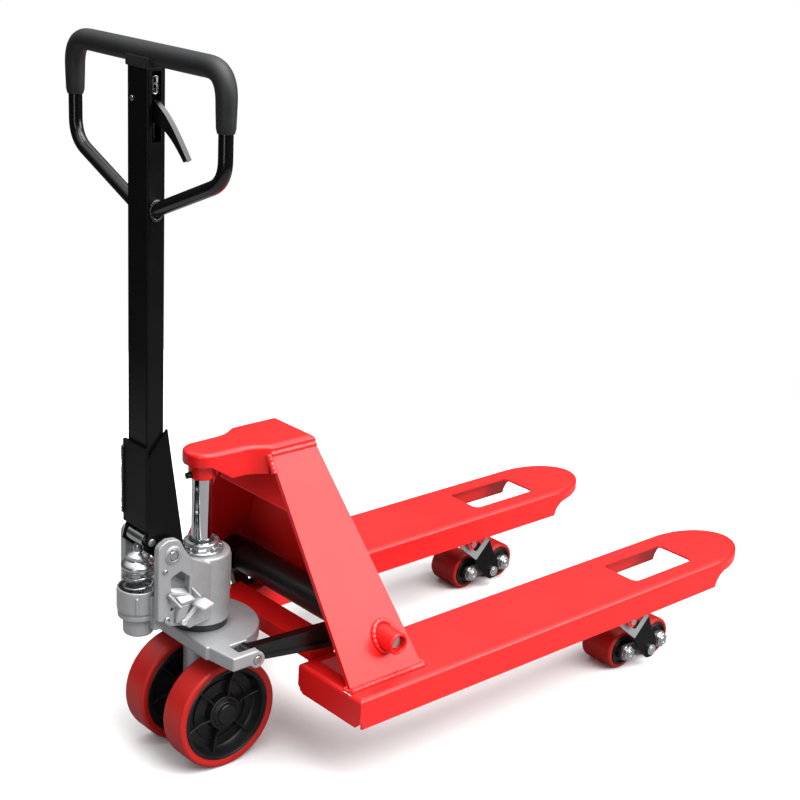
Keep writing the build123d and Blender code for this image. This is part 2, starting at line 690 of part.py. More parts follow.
def bogie(side, name):
    """Two shaped plates that carry a pair of rollers, and their axle bolts with nuts."""
    y = side * FORK_Y
    with BuildPart() as plates:
        for edge in (-1, 1):
            out, inner = y + edge * BOGIE_OUT, y + edge * (BOGIE_OUT - BOGIE_PLATE)
            for along in (-1, 1):
                link_xz(BOGIE_X, ROLLER_R, 14, BOGIE_X + along * ROLLER_PITCH / 2, ROLLER_R, 13, out, inner)
                rod_y(PIN_R, BOGIE_X + along * ROLLER_PITCH / 2, ROLLER_R, out, inner, Mode.SUBTRACT)
            rod_y(PIN_R + RUN, BOGIE_X, ROLLER_R, out, inner, Mode.SUBTRACT)
    save(plates, f"bogie_plates_{name}")
    with BuildPart() as bolts:
        for along in (-1, 1):
            x = BOGIE_X + along * ROLLER_PITCH / 2
            rod_y(PIN_R, x, ROLLER_R, y - BOGIE_OUT - 9, y + BOGIE_OUT + 9)
            for edge in (-1, 1):
                face_y = y + edge * BOGIE_OUT
                low = min(face_y, face_y + edge * 7)
                with BuildSketch(Plane.XZ.offset(-low - 7)):
                    with Locations((x, ROLLER_R)):
                        RegularPolygon(10.5, 6)
                extrude(amount=7)
    save(bolts, f"axle_bolts_{name}")


def roller(side, along, name):
    """Load roller: polyurethane tyre on a core that runs on its axle bolt."""
    y, x = side * FORK_Y, BOGIE_X + along * ROLLER_PITCH / 2
    half = ROLLER_WIDTH / 2
    with BuildPart() as tyre:
        rod_y(ROLLER_R, x, ROLLER_R, y - half + 2, y + half - 2)
        fillet(tyre.edges().filter_by(GeomType.CIRCLE), 3)
        rod_y(ROLLER_R - 8, x, ROLLER_R, y - half, y + half, Mode.SUBTRACT)
    save(tyre, f"roller_tyre_{name}")
    with BuildPart() as core:
        rod_y(ROLLER_R - 8, x, ROLLER_R, y - half, y + half)
        for edge in (-1, 1):
            rod_y(ROLLER_R - 12, x, ROLLER_R, y + edge * half, y + edge * (half - 5), Mode.SUBTRACT)
        rod_y(14, x, ROLLER_R, y - half - 2.5, y + half + 2.5)
        rod_y(PIN_R + RUN, x, ROLLER_R, y - half - 5, y + half + 5, Mode.SUBTRACT)
    save(core, f"roller_core_{name}")


# ---------------------------------------------------------------- steer wheels
def steer_wheel(side, name):
    """Steer wheel: tyre on a dished nylon hub with a closed cap outside."""
    y = side * WHEEL_Y
    half = WHEEL_WIDTH / 2
    with BuildPart() as tyre:
        rod_y(WHEEL_R, KINGPIN_X, WHEEL_R, y - half, y + half)
        fillet(tyre.edges().filter_by(GeomType.CIRCLE), 5)
        rod_y(WHEEL_R - 13, KINGPIN_X, WHEEL_R, y - half, y + half, Mode.SUBTRACT)
    save(tyre, f"steer_tyre_{name}")
    with BuildPart() as hub:
        rod_y(WHEEL_R - 13, KINGPIN_X, WHEEL_R, y - half + 1, y + half - 1)
        for edge in (-1, 1):
            rod_y(WHEEL_R - 22, KINGPIN_X, WHEEL_R, y + edge * half, y + edge * (half - 8), Mode.SUBTRACT)
        rod_y(22, KINGPIN_X, WHEEL_R, y - half + 1.5, y + half - 1.5)
        rod_y(AXLE_R + RUN, KINGPIN_X, WHEEL_R, y - side * (half + 1), side * (AXLE_HALF + 1), Mode.SUBTRACT)
    save(hub, f"wheel_hub_{name}")


# ---------------------------------------------------------------- pump
def pump_ear(side):
    """Cheek on one side of the pump casting that carries the handle's hinge pin."""
    rod_y(23, HINGE_X - 2, HINGE_Z, side * 40, side * 52)
    plate_xz(
        [
            (HINGE_X - 25, 258),
            (HINGE_X - 25, HINGE_Z),
            (HINGE_X - 2, HINGE_Z),
            (HINGE_X + 14, HINGE_Z + 16.5),
            (HINGE_X + 24, HINGE_Z - 5),
            (KINGPIN_X - 44, PUMP_TOP + 4),
            (KINGPIN_X - 24, PUMP_TOP - 3),
            (KINGPIN_X - 24, 250),
            (KINGPIN_X - 90, 250),
        ],
        side * 40,
        side * 52,
    )


def pump_body():
    """Cast pump: main cylinder on the steering stem, plunger cup in front, cheeks with a window."""
    with BuildPart() as piece:
        for radius, low, high in ((PUMP_R, PUMP_BOTTOM, PUMP_TOP), (37, PUMP_TOP, 345), (STEM_R, 66, PUMP_BOTTOM)):
            with BuildSketch(Plane.XY.offset(low)):
                with Locations((KINGPIN_X, 0)):
                    Circle(radius)
            extrude(amount=high - low)
        with BuildSketch(Plane.XY.offset(CUP_BOTTOM)):
            with Locations((CUP_X, 0)):
                Circle(CUP_R)
        extrude(amount=CUP_RIM - CUP_BOTTOM)
        with BuildSketch(Plane.XY.offset(236)):
            with Locations((CUP_X, 0)):
                Circle(24)
        extrude(amount=CUP_BOTTOM - 236)
        with BuildSketch(Plane.XY.offset(CUP_FLOOR)):
            with Locations((CUP_X, 0)):
                Circle(CUP_BORE)
                Circle(GUIDE_R, mode=Mode.SUBTRACT)
        extrude(amount=CUP_RIM - CUP_FLOOR, mode=Mode.SUBTRACT)
        with BuildSketch(Plane.XY.offset(GUIDE_TOP)):
            with Locations((CUP_X, 0)):
                Circle(CUP_BORE)
        extrude(amount=CUP_RIM - GUIDE_TOP, mode=Mode.SUBTRACT)
        # the web joins the cylinder to the cup below the handle's swing
        plate_xz(
            [
                (CUP_X + CUP_R - 6, 250),
                (CUP_X + CUP_R - 6, 306),
                (KINGPIN_X - 30, 306),
                (KINGPIN_X - 30, 240),
            ],
            -40,
            40,
        )
        for side in SIDES.values():
            pump_ear(side)
        plate_xz(
            [
                (KINGPIN_X - 90, 316),
                (KINGPIN_X - 90, 338),
                (KINGPIN_X - 73, 345),
                (KINGPIN_X - 57, 332),
                (KINGPIN_X - 57, 307),
            ],
            -60,
            60,
            Mode.SUBTRACT,
        )
        for x, low, high in ((CUP_X, 240, GUIDE_TOP + 1), (KINGPIN_X, 205, 346)):
            with BuildSketch(Plane.XY.offset(low)):
                with Locations((x, 0)):
                    Circle(PLUNGER_R + RUN if x == CUP_X else ROD_R + 1)
            extrude(amount=high - low, mode=Mode.SUBTRACT)
        rod_y(HINGE_R, HINGE_X, HINGE_Z, -60, 60, Mode.SUBTRACT)
        rod_y(AXLE_R, KINGPIN_X, WHEEL_R, -60, 60, Mode.SUBTRACT)
        rod_y(5, KINGPIN_X - 70, 262, -60, 0, Mode.SUBTRACT)
    save(piece, "pump_body")


def pump_fittings():
    """Gland nut, wheel axle, handle hinge pin, valve screws and the plunger spring."""
    with BuildPart() as nut:
        with BuildSketch(Plane.XY.offset(345)):
            with Locations((KINGPIN_X, 0)):
                RegularPolygon(30, 6)
        extrude(amount=10)
        with BuildSketch(Plane.XY.offset(355)):
            with Locations((KINGPIN_X, 0)):
                Circle(25)
        extrude(amount=6)
        with BuildSketch(Plane.XY.offset(345)):
            with Locations((KINGPIN_X, 0)):
                Circle(ROD_R + RUN)
        extrude(amount=20, mode=Mode.SUBTRACT)
    save(nut, "gland_nut")
    with BuildPart() as axle:
        rod_y(AXLE_R, KINGPIN_X, WHEEL_R, -AXLE_HALF, AXLE_HALF)
    save(axle, "wheel_axle")
    with BuildPart() as pin:
        rod_y(HINGE_R, HINGE_X, HINGE_Z, -54, 54)
    save(pin, "handle_pin")
    with BuildPart() as screws:
        for x, z in ((KINGPIN_X - 97, 272), (KINGPIN_X - 101, 352)):
            with BuildSketch(Plane.XZ.offset(52)):
                with Locations((x, z)):
                    RegularPolygon(5.5, 6)
            extrude(amount=4)
    save(screws, "valve_screws")
    with BuildPart() as spring:
        height = CAP_BOTTOM - CUP_FLOOR - 2 * SPRING_WIRE_R - 0.6
        with BuildLine() as coil:
            Helix(height / 6, height, SPRING_R, center=(CUP_X, 0, CUP_FLOOR + SPRING_WIRE_R + 0.3))
        with BuildSketch(Plane(origin=coil.line @ 0, z_dir=coil.line % 0)):
            Circle(SPRING_WIRE_R)
        sweep(is_frenet=True)
    save(spring, "pump_spring")


def pump_plunger():
    """Plunger with its guide rod, flared spring cap and the stem under the press roller."""
    with BuildPart() as piece:
        with BuildSketch(Plane.XZ):
            with BuildLine():
                Polyline(
                    (CUP_X, 280),
                    (CUP_X + PLUNGER_R, 280),
                    (CUP_X + PLUNGER_R, CAP_BOTTOM),
                    (CUP_X + CAP_R - 3, CAP_BOTTOM),
                    (CUP_X + CAP_R, CAP_BOTTOM + 3),
                    (CUP_X + CAP_R, CAP_BOTTOM + 6),
                    (CUP_X + 14, CAP_BOTTOM + 12),
                    (CUP_X + 7, CAP_BOTTOM + 20),
                    (CUP_X + 7, PRESS_Z - PRESS_R - 2),
                    (CUP_X + 5.5, PRESS_Z - PRESS_R - 0.4),
                    (CUP_X, PRESS_Z - PRESS_R - 0.4),
                    (CUP_X, 280),
                )
            make_face()
        revolve(axis=Axis((CUP_X, 0, 0), (0, 0, 1)))
    save(piece, "pump_plunger")


def release_lever():
    """Lever on the side of the pump that opens the lowering valve, with a serrated foot ledge."""
    with BuildPart() as piece:
        link_xz(KINGPIN_X - 70, 262, 8, KINGPIN_X - 46, 283, 6, -53, -57)
        rod_y(4.95, KINGPIN_X - 70, 262, -58, -42)
        with BuildSketch(Plane.XY.offset(281)):
            with Locations((KINGPIN_X - 40, -62)):
                Rectangle(42, 16)
                with GridLocations(5, 0, 7, 1):
                    with Locations((0, -9)):
                        Rectangle(2.4, 5, mode=Mode.SUBTRACT)
        extrude(amount=5)
    save(piece, "release_lever")


# ---------------------------------------------------------------- handle
def loop_path(end_z):
    """Centre line of the closed handle loop, in the plane of the drawbar."""
    with BuildLine(Plane.YZ.offset(BAR_X)) as path:
        if end_z > LOOP_LOW:
            points = [(LOOP_HALF, end_z), (LOOP_HALF, LOOP_TOP), (-LOOP_HALF, LOOP_TOP), (-LOOP_HALF, end_z)]
            FilletPolyline(*points, radius=50)
        else:
            points = [
                (BAR_WIDTH / 2 + 1, end_z),
                (LOOP_HALF, LOOP_LOW),
                (LOOP_HALF, LOOP_TOP),
                (-LOOP_HALF, LOOP_TOP),
                (-LOOP_HALF, LOOP_LOW),
                (-BAR_WIDTH / 2 - 1, end_z),
            ]
            FilletPolyline(*points, radius=50)
    return path


def handle_loop():
    """Bent tube that forms the hand loop, welded to the drawbar's sides."""
    with BuildPart() as piece:
        path = loop_path(LOOP_FOOT)
        with BuildSketch(Plane(origin=path.line @ 0, z_dir=path.line % 0)):
            Circle(LOOP_R)
        sweep(path=path.line)
        with BuildSketch(Plane.XY.offset(BAR_BOTTOM)):
            with Locations((BAR_X, 0)):
                Rectangle(60, BAR_WIDTH)
        extrude(amount=LOOP_TOP - 2 * GRIP_R - BAR_BOTTOM, mode=Mode.SUBTRACT)
    save(piece, "handle_loop")


def handle_grip():
    """Rubber sleeve over the top of the loop."""
    with BuildPart() as piece:
        path = loop_path(GRIP_END)
        with BuildSketch(Plane(origin=path.line @ 0, z_dir=path.line % 0)):
            Circle(GRIP_R)
            Circle(LOOP_R + 0.02, mode=Mode.SUBTRACT)
        sweep(path=path.line)
    save(piece, "handle_grip")


def drawbar():
    """Rectangular tube with the lever slot in its side."""
    with BuildPart() as piece:
        with BuildSketch(Plane.XY.offset(BAR_BOTTOM)):
            with Locations((BAR_X, 0)):
                RectangleRounded(BAR_DEPTH, BAR_WIDTH, 3)
                Rectangle(BAR_DEPTH - 2 * BAR_WALL, BAR_WIDTH - 2 * BAR_WALL, mode=Mode.SUBTRACT)
        extrude(amount=LOOP_TOP - BAR_BOTTOM)
        rod_y(GRIP_R, BAR_X, LOOP_TOP, -40, 40, Mode.SUBTRACT)
        with BuildSketch(Plane.XZ):
            with Locations((BAR_X, LEVER_Z - 8)):
                Rectangle(14, 96)
        extrude(amount=40, mode=Mode.SUBTRACT)
        with BuildSketch(Plane.YZ.offset(BAR_X - 40)):
            with Locations((LEVER_Y, LEVER_Z)):
                Circle(4)
        extrude(amount=80, mode=Mode.SUBTRACT)
    save(piece, "drawbar")


def handle_bracket():
    """Folded bracket that wraps the drawbar's foot and hinges on the pump."""
    half = BAR_WIDTH / 2 + 0.2
    outline = [
        (BAR_X - BAR_DEPTH / 2, 408),
        (BAR_X - BAR_DEPTH / 2, 528),
        (BAR_X + 18, 566),
        (KINGPIN_X - 54, 374),
        (KINGPIN_X - 66, 360),
        (HINGE_X - 8, 360),
        (PRESS_X - 12, 384),
    ]
    with BuildPart() as piece:
        for side in SIDES.values():
            plate_xz(outline, side * half, side * (half + BRACKET))
        with BuildSketch(Plane.XY.offset(412)):
            with Locations((BAR_X - BAR_DEPTH / 2 - BRACKET / 2, 0)):
                Rectangle(BRACKET, 2 * (half + BRACKET))
        extrude(amount=130)
        rod_y(HINGE_R + RUN, HINGE_X, HINGE_Z, -40, 40, Mode.SUBTRACT)
        rod_y(6, PRESS_X, PRESS_Z, -40, 40, Mode.SUBTRACT)
    save(piece, "handle_bracket")


def press_roller():
    """Roller that drives the plunger, and its pin in the bracket."""
    with BuildPart() as roller_piece:
        rod_y(PRESS_R, PRESS_X, PRESS_Z, -20, 20)
        rod_y(6 + RUN, PRESS_X, PRESS_Z, -20, 20, Mode.SUBTRACT)
    save(roller_piece, "press_roller")
    with BuildPart() as pin:
        rod_y(6, PRESS_X, PRESS_Z, -33, 33)
    save(pin, "press_roller_pin")


def control_lever():
    """Finger lever: its bent blade hangs inside the loop, its short arm pulls the chain."""
    thickness = 8
    with BuildPart() as piece:
        with BuildSketch(Plane.YZ.offset(BAR_X - thickness / 2)):
            with BuildLine():
                Spline((-14, LEVER_Z + 5), (-40, LEVER_Z - 7), (-69, LEVER_Z - 30), (-103, LEVER_Z - 67))
                Line((-103, LEVER_Z - 67), (-95, LEVER_Z - 71))
                Spline((-95, LEVER_Z - 71), (-66, LEVER_Z - 46), (-42, LEVER_Z - 33), (-22, LEVER_Z - 29))
                Line((-22, LEVER_Z - 29), (-14, LEVER_Z - 16))
                Line((-14, LEVER_Z - 16), (-14, LEVER_Z + 5))
            make_face()
        extrude(amount=thickness)
        with BuildSketch(Plane.YZ.offset(BAR_X - thickness / 2)):
            with Locations((LEVER_Y, LEVER_Z)):
                Circle(8)
            with Locations((-14, LEVER_Z - 1)):
                Circle(7)
            make_hull()
        extrude(amount=thickness)
        with BuildSketch(Plane.YZ.offset(BAR_X - 30)):
            with Locations((LEVER_Y, LEVER_Z)):
                Circle(4 + RUN)
            with Locations((PULL_Y, LEVER_Z)):
                Circle(3.2)
        extrude(amount=60, mode=Mode.SUBTRACT)
    save(piece, "control_lever")
    with BuildPart() as pin:
        with BuildSketch(Plane.YZ.offset(BAR_X - BAR_DEPTH / 2 - 2)):
            with Locations((LEVER_Y, LEVER_Z)):
                Circle(4)
        extrude(amount=BAR_DEPTH + 4)
    save(pin, "lever_pin")


def pull_rod():
    """Thin rod inside the drawbar that carries the lever's pull down to the pump."""
    with BuildPart() as piece:
        with BuildSketch(Plane.XY.offset(BAR_BOTTOM + 10)):
            with Locations((BAR_X + 8, PULL_Y)):
                Circle(3)
        extrude(amount=LEVER_Z - 4 - BAR_BOTTOM)
        with BuildSketch(Plane.YZ.offset(BAR_X - 4)):
            with Locations((PULL_Y, LEVER_Z)):
                Circle(2)
        extrude(amount=12)
    save(piece, "pull_rod")


def build():
    """Makes every sub-part and writes its STEP file."""
    forks = [fork(side, f"fork_{name}") for name, side in SIDES.items()]
    plates = [side_plate(side, f"side_plate_{name}") for name, side in SIDES.items()]
    fork_stiffeners()
    front_plate()
    head()
    piston_parts()
    bushes = shaft_bushes()
    leg_ears()
    leg_pivot_pins()
    weld_beads(plates, forks, bushes)
    thrust_plate()
    rocker_pins()
    thrust_bearing()
    rocker_arms()
    rocker_shaft_parts()
    for name, side in SIDES.items():
        push_rod(side, f"push_rod_{name}")
        leg(side, name)
        bogie(side, name)
        roller(side, -1, f"{name}_rear")
        roller(side, 1, f"{name}_front")
        steer_wheel(side, name)
    pump_body()
    pump_fittings()
    pump_plunger()
    release_lever()
    handle_loop()
    handle_grip()
    drawbar()
    handle_bracket()
    press_roller()
    control_lever()
    pull_rod()


build()
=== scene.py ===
import json
from math import cos, exp, hypot, pi, radians, sin, tan

import bmesh
import bpy
import numpy as np
from mathutils import Matrix, Vector


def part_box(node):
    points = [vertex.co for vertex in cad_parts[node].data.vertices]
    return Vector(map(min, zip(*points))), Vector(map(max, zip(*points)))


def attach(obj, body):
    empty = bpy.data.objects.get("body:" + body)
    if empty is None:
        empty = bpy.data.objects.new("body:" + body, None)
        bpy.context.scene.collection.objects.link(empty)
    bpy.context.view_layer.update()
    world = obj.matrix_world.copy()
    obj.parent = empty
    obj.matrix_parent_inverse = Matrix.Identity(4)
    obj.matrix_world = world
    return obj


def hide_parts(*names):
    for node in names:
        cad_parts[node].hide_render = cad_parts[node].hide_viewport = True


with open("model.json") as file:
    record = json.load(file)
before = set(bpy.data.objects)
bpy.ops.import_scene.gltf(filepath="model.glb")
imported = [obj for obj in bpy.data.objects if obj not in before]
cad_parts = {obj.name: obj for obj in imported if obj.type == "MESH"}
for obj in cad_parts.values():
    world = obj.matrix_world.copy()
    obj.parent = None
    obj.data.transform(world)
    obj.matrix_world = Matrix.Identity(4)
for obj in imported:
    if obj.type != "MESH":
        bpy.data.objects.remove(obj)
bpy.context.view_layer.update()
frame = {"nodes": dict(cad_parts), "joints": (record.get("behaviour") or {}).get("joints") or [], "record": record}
NODE_BODY = {n: b for b, ns in frame["record"]["behaviour"]["bodies"].items() for n in ns}
NODE_SLOT = {s["node"]: s["material_slot"] for s in frame["record"]["subparts"]}
SIDES = {"left": 1, "right": -1}
UP = (0, 0, 1)
ACROSS = (0, 1, 0)


def centre(node):
    """Middle of a CAD node's box."""
    low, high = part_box(node)
    return (low + high) / 2


KING = centre("piston_rod").x  # steering axis


def at(x, y, z):
    """A point given in millimetres from the foot of the steering axis, in the row frame's metres."""
    return Vector((KING + x / 1000, y / 1000, z / 1000))


# ------------------------------------------------------------------ materials
def nodes_of(owner):
    """Nodes and links of a material or a world."""
    owner.use_nodes = True
    return owner.node_tree.nodes, owner.node_tree.links


def feed(node, **values):
    """Sets a node's inputs. An underscore stands for a space in their names."""
    for name, value in values.items():
        node.inputs[name.replace("_", " ")].default_value = value


def material(name, low, high, rough=(0.3, 0.4), metallic=0.0, coat=0.0, coat_rough=0.1, mottle=9.0,
             grain=900.0, bump=0.1, depth=0.0004, speck=None, crevice_shade=0.0, specular=0.5, sheen=0.0,
             stretch=(1, 1, 1)):
    """A procedural surface: slow colour variation, varied roughness and a fine bump, in its own space, with
    optional specks and optional painted shade in its hollows.
    """
    mat = bpy.data.materials.new(name)
    nodes, links = nodes_of(mat)
    shader = nodes["Principled BSDF"]
    feed(shader, Metallic=metallic, Coat_Weight=coat, Coat_Roughness=coat_rough, Specular_IOR_Level=specular,
         Sheen_Weight=sheen)
    space = nodes.new("ShaderNodeTexCoord")
    spread = nodes.new("ShaderNodeMapping")
    feed(spread, Scale=stretch)
    links.new(space.outputs["Object"], spread.inputs["Vector"])
    slow = nodes.new("ShaderNodeTexNoise")
    feed(slow, Scale=mottle, Detail=5)
    fine = nodes.new("ShaderNodeTexNoise")
    feed(fine, Scale=grain, Detail=3)
    for tex in (slow, fine):
        links.new(spread.outputs["Vector"], tex.inputs["Vector"])
    factor, first, second, result = 0, 6, 7, 2  # a colour mix node's sockets
    tint = nodes.new("ShaderNodeMix")
    tint.data_type = "RGBA"
    tint.inputs[first].default_value = (*low, 1)
    tint.inputs[second].default_value = (*high, 1)
    links.new(slow.outputs["Fac"], tint.inputs[factor])
    colour = tint.outputs[result]
    if speck:
        dots = nodes.new("ShaderNodeValToRGB")
        dots.color_ramp.elements[0].position = 0.52
        dots.color_ramp.elements[1].position = 0.62
        links.new(fine.outputs["Fac"], dots.inputs["Fac"])
        mix = nodes.new("ShaderNodeMix")
        mix.data_type = "RGBA"
        mix.inputs[second].default_value = (*speck, 1)
        links.new(dots.outputs["Color"], mix.inputs[factor])
        links.new(colour, mix.inputs[first])
        colour = mix.outputs[result]
    # painted shade: an ambient occlusion node darkens the colour in hollows and crevices, where shade falls
    if crevice_shade:
        hollow = nodes.new("ShaderNodeAmbientOcclusion")
        hollow.samples = 4
        feed(hollow, Distance=0.012)
        dark = nodes.new("ShaderNodeMix")
        dark.data_type = "RGBA"
        dark.inputs[first].default_value = (*[c * (1 - crevice_shade) for c in low], 1)
        links.new(hollow.outputs["AO"], dark.inputs[factor])
        links.new(colour, dark.inputs[second])
        colour = dark.outputs[result]
    links.new(colour, shader.inputs["Base Color"])
    vary = nodes.new("ShaderNodeMapRange")
    feed(vary, From_Min=0.3, From_Max=0.7, To_Min=rough[0], To_Max=rough[1])
    links.new(slow.outputs["Fac"], vary.inputs["Value"])
    links.new(vary.outputs["Result"], shader.inputs["Roughness"])
    relief = nodes.new("ShaderNodeBump")
    feed(relief, Strength=bump, Distance=depth)
    links.new(fine.outputs["Fac"], relief.inputs["Height"])
    links.new(relief.outputs["Normal"], shader.inputs["Normal"])
    if coat:
        links.new(relief.outputs["Normal"], shader.inputs["Coat Normal"])
    return mat


# Materials given an amount for their hollows darken there with painted shade.
MAT = {
    "red_paint": material("red_enamel", (0.80, 0.008, 0.008), (0.86, 0.012, 0.011), (0.34, 0.44),
                          coat=0.25, coat_rough=0.18, mottle=6, grain=420, depth=0.0005, specular=0.4),
    "weld": material("red_enamel_weld", (0.78, 0.010, 0.010), (0.88, 0.02, 0.016), (0.25, 0.38),
                     coat=0.6, coat_rough=0.12, mottle=60, grain=700, bump=0.35, depth=0.0008, crevice_shade=0.35),
    "black_paint": material("black_enamel", (0.002, 0.002, 0.0022), (0.0035, 0.0035, 0.004), (0.26, 0.36),
                            mottle=14, grain=520, bump=0.12, depth=0.0005, specular=0.24),
    "black_gloss": material("black_gloss", (0.002, 0.002, 0.0022), (0.004, 0.004, 0.0045), (0.2, 0.3),
                            mottle=14, grain=520, bump=0.14, depth=0.0005, specular=0.4, coat=0.3,
                            coat_rough=0.08),
    "black_matt": material("black_satin", (0.0015, 0.0015, 0.0016), (0.003, 0.003, 0.0033), (0.32, 0.42),
                           mottle=14, grain=520, bump=0.16, depth=0.0006, specular=0.14),
    "weld_black": material("black_enamel_weld", (0.002, 0.002, 0.002), (0.008, 0.008, 0.008), (0.12, 0.22),
                           mottle=120, grain=700, bump=0.5, depth=0.001, specular=0.6, coat=0.6,
                           coat_rough=0.06),
    "dark_forging": material("black_forging", (0.006, 0.006, 0.007), (0.014, 0.014, 0.015), (0.32, 0.5),
                             coat=0.2, coat_rough=0.2, mottle=30, grain=380, bump=0.4, depth=0.001),
    "grey_forging": material("grey_forging", (0.36, 0.37, 0.385), (0.46, 0.47, 0.485), (0.36, 0.5),
                             metallic=0.45, mottle=22, grain=420, bump=0.35, depth=0.0009, crevice_shade=0.55),
    "bogie_steel": material("bogie_steel", (0.17, 0.175, 0.18), (0.26, 0.265, 0.27), (0.34, 0.46),
                            metallic=0.7, mottle=30, grain=420, bump=0.3, depth=0.0006, crevice_shade=0.5),
    "pump_paint": material("pump_casting", (0.38, 0.39, 0.40), (0.46, 0.47, 0.48), (0.36, 0.46),
                           metallic=0.5, mottle=40, grain=700, bump=0.42, depth=0.0010,
                           speck=(0.50, 0.51, 0.52), crevice_shade=0.72),
    "bright_casting": material("bright_casting", (0.62, 0.63, 0.64), (0.72, 0.73, 0.74), (0.3, 0.4),
                               metallic=0.4, mottle=40, grain=700, bump=0.3, depth=0.0008, crevice_shade=0.6),
    "chrome": material("chrome_rod", (0.60, 0.61, 0.63), (0.66, 0.67, 0.69), (0.07, 0.10), metallic=1.0,
                       mottle=5, grain=1500, bump=0.004, depth=0.0001, stretch=(1, 1, 12)),
    "steel": material("turned_steel", (0.42, 0.43, 0.44), (0.56, 0.57, 0.58), (0.2, 0.34), metallic=1.0,
                      mottle=60, grain=1400, bump=0.12, depth=0.0002, stretch=(1, 6, 1)),
    "zinc": material("zinc_plate", (0.50, 0.52, 0.53), (0.66, 0.68, 0.68), (0.2, 0.34), metallic=0.95,
                     mottle=90, bump=0.12, depth=0.0002, crevice_shade=0.4),
    "spring_steel": material("spring_wire", (0.36, 0.37, 0.38), (0.5, 0.51, 0.52), (0.22, 0.34),
                             metallic=1.0, mottle=90, grain=1400, depth=0.0002),
    "grip_rubber": material("grip_rubber", (0.008, 0.0085, 0.0095), (0.013, 0.0135, 0.015), (0.5, 0.6),
                            mottle=30, grain=1100, bump=0.45, depth=0.0006, sheen=0.03),
    "red_pu": material("red_polyurethane", (0.44, 0.010, 0.008), (0.54, 0.014, 0.011), (0.34, 0.46),
                       mottle=12, grain=600, bump=0.15, specular=0.4),
    "black_nylon": material("black_nylon", (0.004, 0.004, 0.0045), (0.008, 0.008, 0.009), (0.3, 0.42),
                            mottle=40, grain=1000, bump=0.3, depth=0.0005, specular=0.4),
    "black_screw": material("black_oxide", (0.006, 0.006, 0.006), (0.012, 0.012, 0.012), (0.3, 0.4),
                            metallic=0.4, mottle=80, grain=1400, depth=0.0002),
}
NODE_MAT = {"thrust_plate": "grey_forging", "thrust_bearing": "dark_forging"}


# ------------------------------------------------------------------ mesh helpers
def rounded(points, radius=0.0, closed=True, steps=5):
    """Rounds the corners of a 2D line. A point may carry its own radius as a third number."""
    result, count = [], len(points)
    for i, point in enumerate(points):
        r = point[2] if len(point) > 2 else radius
        here = Vector(point[:2])
        if r <= 0 or (not closed and i in (0, count - 1)):
            result.append(tuple(here))
            continue
        back = Vector(points[i - 1][:2]) - here
        ahead = Vector(points[(i + 1) % count][:2]) - here
        half = back.angle(ahead) / 2
        cut = min(r / tan(half), back.length * 0.49, ahead.length * 0.49)
        start, end = here + back.normalized() * cut, here + ahead.normalized() * cut
        for k in range(steps + 1):
            t = k / steps
            result.append(tuple(start * (1 - t) ** 2 + here * 2 * t * (1 - t) + end * t * t))
    return result


def add_object(name, data):
    """A new object in the scene."""
    obj = bpy.data.objects.new(name, data)
    bpy.context.scene.collection.objects.link(obj)
    return obj


def new_object(name, mesh, mat, body, replaces):
    """Links a finished mesh, gives it its material and makes it ride on its body."""
    mesh.name = name
    mesh.materials.clear()
    mesh.materials.append(MAT[mat])
    obj = add_object(name, mesh)
    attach(obj, body)
    for node in replaces:
        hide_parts(node)
    return obj


def shade(mesh, angle=38):
    """Smooth shading that keeps edges above an angle crisp."""
    mesh.shade_smooth()
    mesh.set_sharp_from_angle(angle=radians(angle))


def weight_normals(obj):
    """Lets large faces set the shading, so that small edge rounds catch light and flats stay flat."""
    mod = obj.modifiers.new("normals", "WEIGHTED_NORMAL")
    mod.keep_sharp = True
    mod.weight = 80


def place(bm, origin, x_axis, z_axis):
    """Moves a bmesh from its own millimetre space to the row frame."""
    z = Vector(z_axis).normalized()
    x = (Vector(x_axis) - z * Vector(x_axis).dot(z)).normalized()
    turn = Matrix((x, z.cross(x), z)).transposed().to_4x4()
    bm.transform(Matrix.Translation(origin) @ turn @ Matrix.Scale(0.001, 4))


def lathe_bm(profile, origin, axis, seg):
    """Turned shape: (radius, distance along the axis) points in millimetres."""
    bm = bmesh.new()
    rings = []
    for r, h in profile:
        if r < 1e-6:
            rings.append([bm.verts.new((0, 0, h))])
        else:
            angles = [2 * pi * k / seg for k in range(seg)]
            rings.append([bm.verts.new((r * cos(a), r * sin(a), h)) for a in angles])
    for low, high in zip(rings, rings[1:]):
        for k in range(seg):
            m = (k + 1) % seg
            if len(low) == 1 and len(high) > 1:
                bm.faces.new((low[0], high[m], high[k]))
            elif len(high) == 1 and len(low) > 1:
                bm.faces.new((low[k], low[m], high[0]))
            elif len(low) > 1:
                bm.faces.new((low[k], low[m], high[m], high[k]))
    bmesh.ops.recalc_face_normals(bm, faces=bm.faces)
    place(bm, origin, (1, 0, 0), axis)
    return bm


def prism_bm(outline, thick, origin, x_axis, z_axis, bevel, holes=()):
    """Flat piece from a 2D outline in millimetres, with rounded edges, that grows along z_axis."""
    curve = bpy.data.curves.new("outline", "CURVE")
    curve.dimensions, curve.fill_mode = "2D", "BOTH"
    curve.extrude, curve.bevel_depth, curve.bevel_resolution = thick / 2 - bevel, bevel, 3
    curve.offset = -bevel
    for ring in (outline, *holes):
        spline = curve.splines.new("POLY")
        spline.points.add(len(ring) - 1)
        for point, (u, v) in zip(spline.points, ring):
            point.co = (u, v, 0, 1)
        spline.use_cyclic_u = True
    obj = add_object("outline", curve)
    mesh = bpy.data.meshes.new_from_object(obj.evaluated_get(bpy.context.evaluated_depsgraph_get()))
    bpy.data.objects.remove(obj)
    bpy.data.curves.remove(curve)
    bm = bmesh.new()
    bm.from_mesh(mesh)
    bpy.data.meshes.remove(mesh)
    bmesh.ops.remove_doubles(bm, verts=bm.verts, dist=0.01)
    bmesh.ops.translate(bm, verts=bm.verts, vec=(0, 0, thick / 2))
    bmesh.ops.recalc_face_normals(bm, faces=bm.faces)
    place(bm, origin, x_axis, z_axis)
    return bm


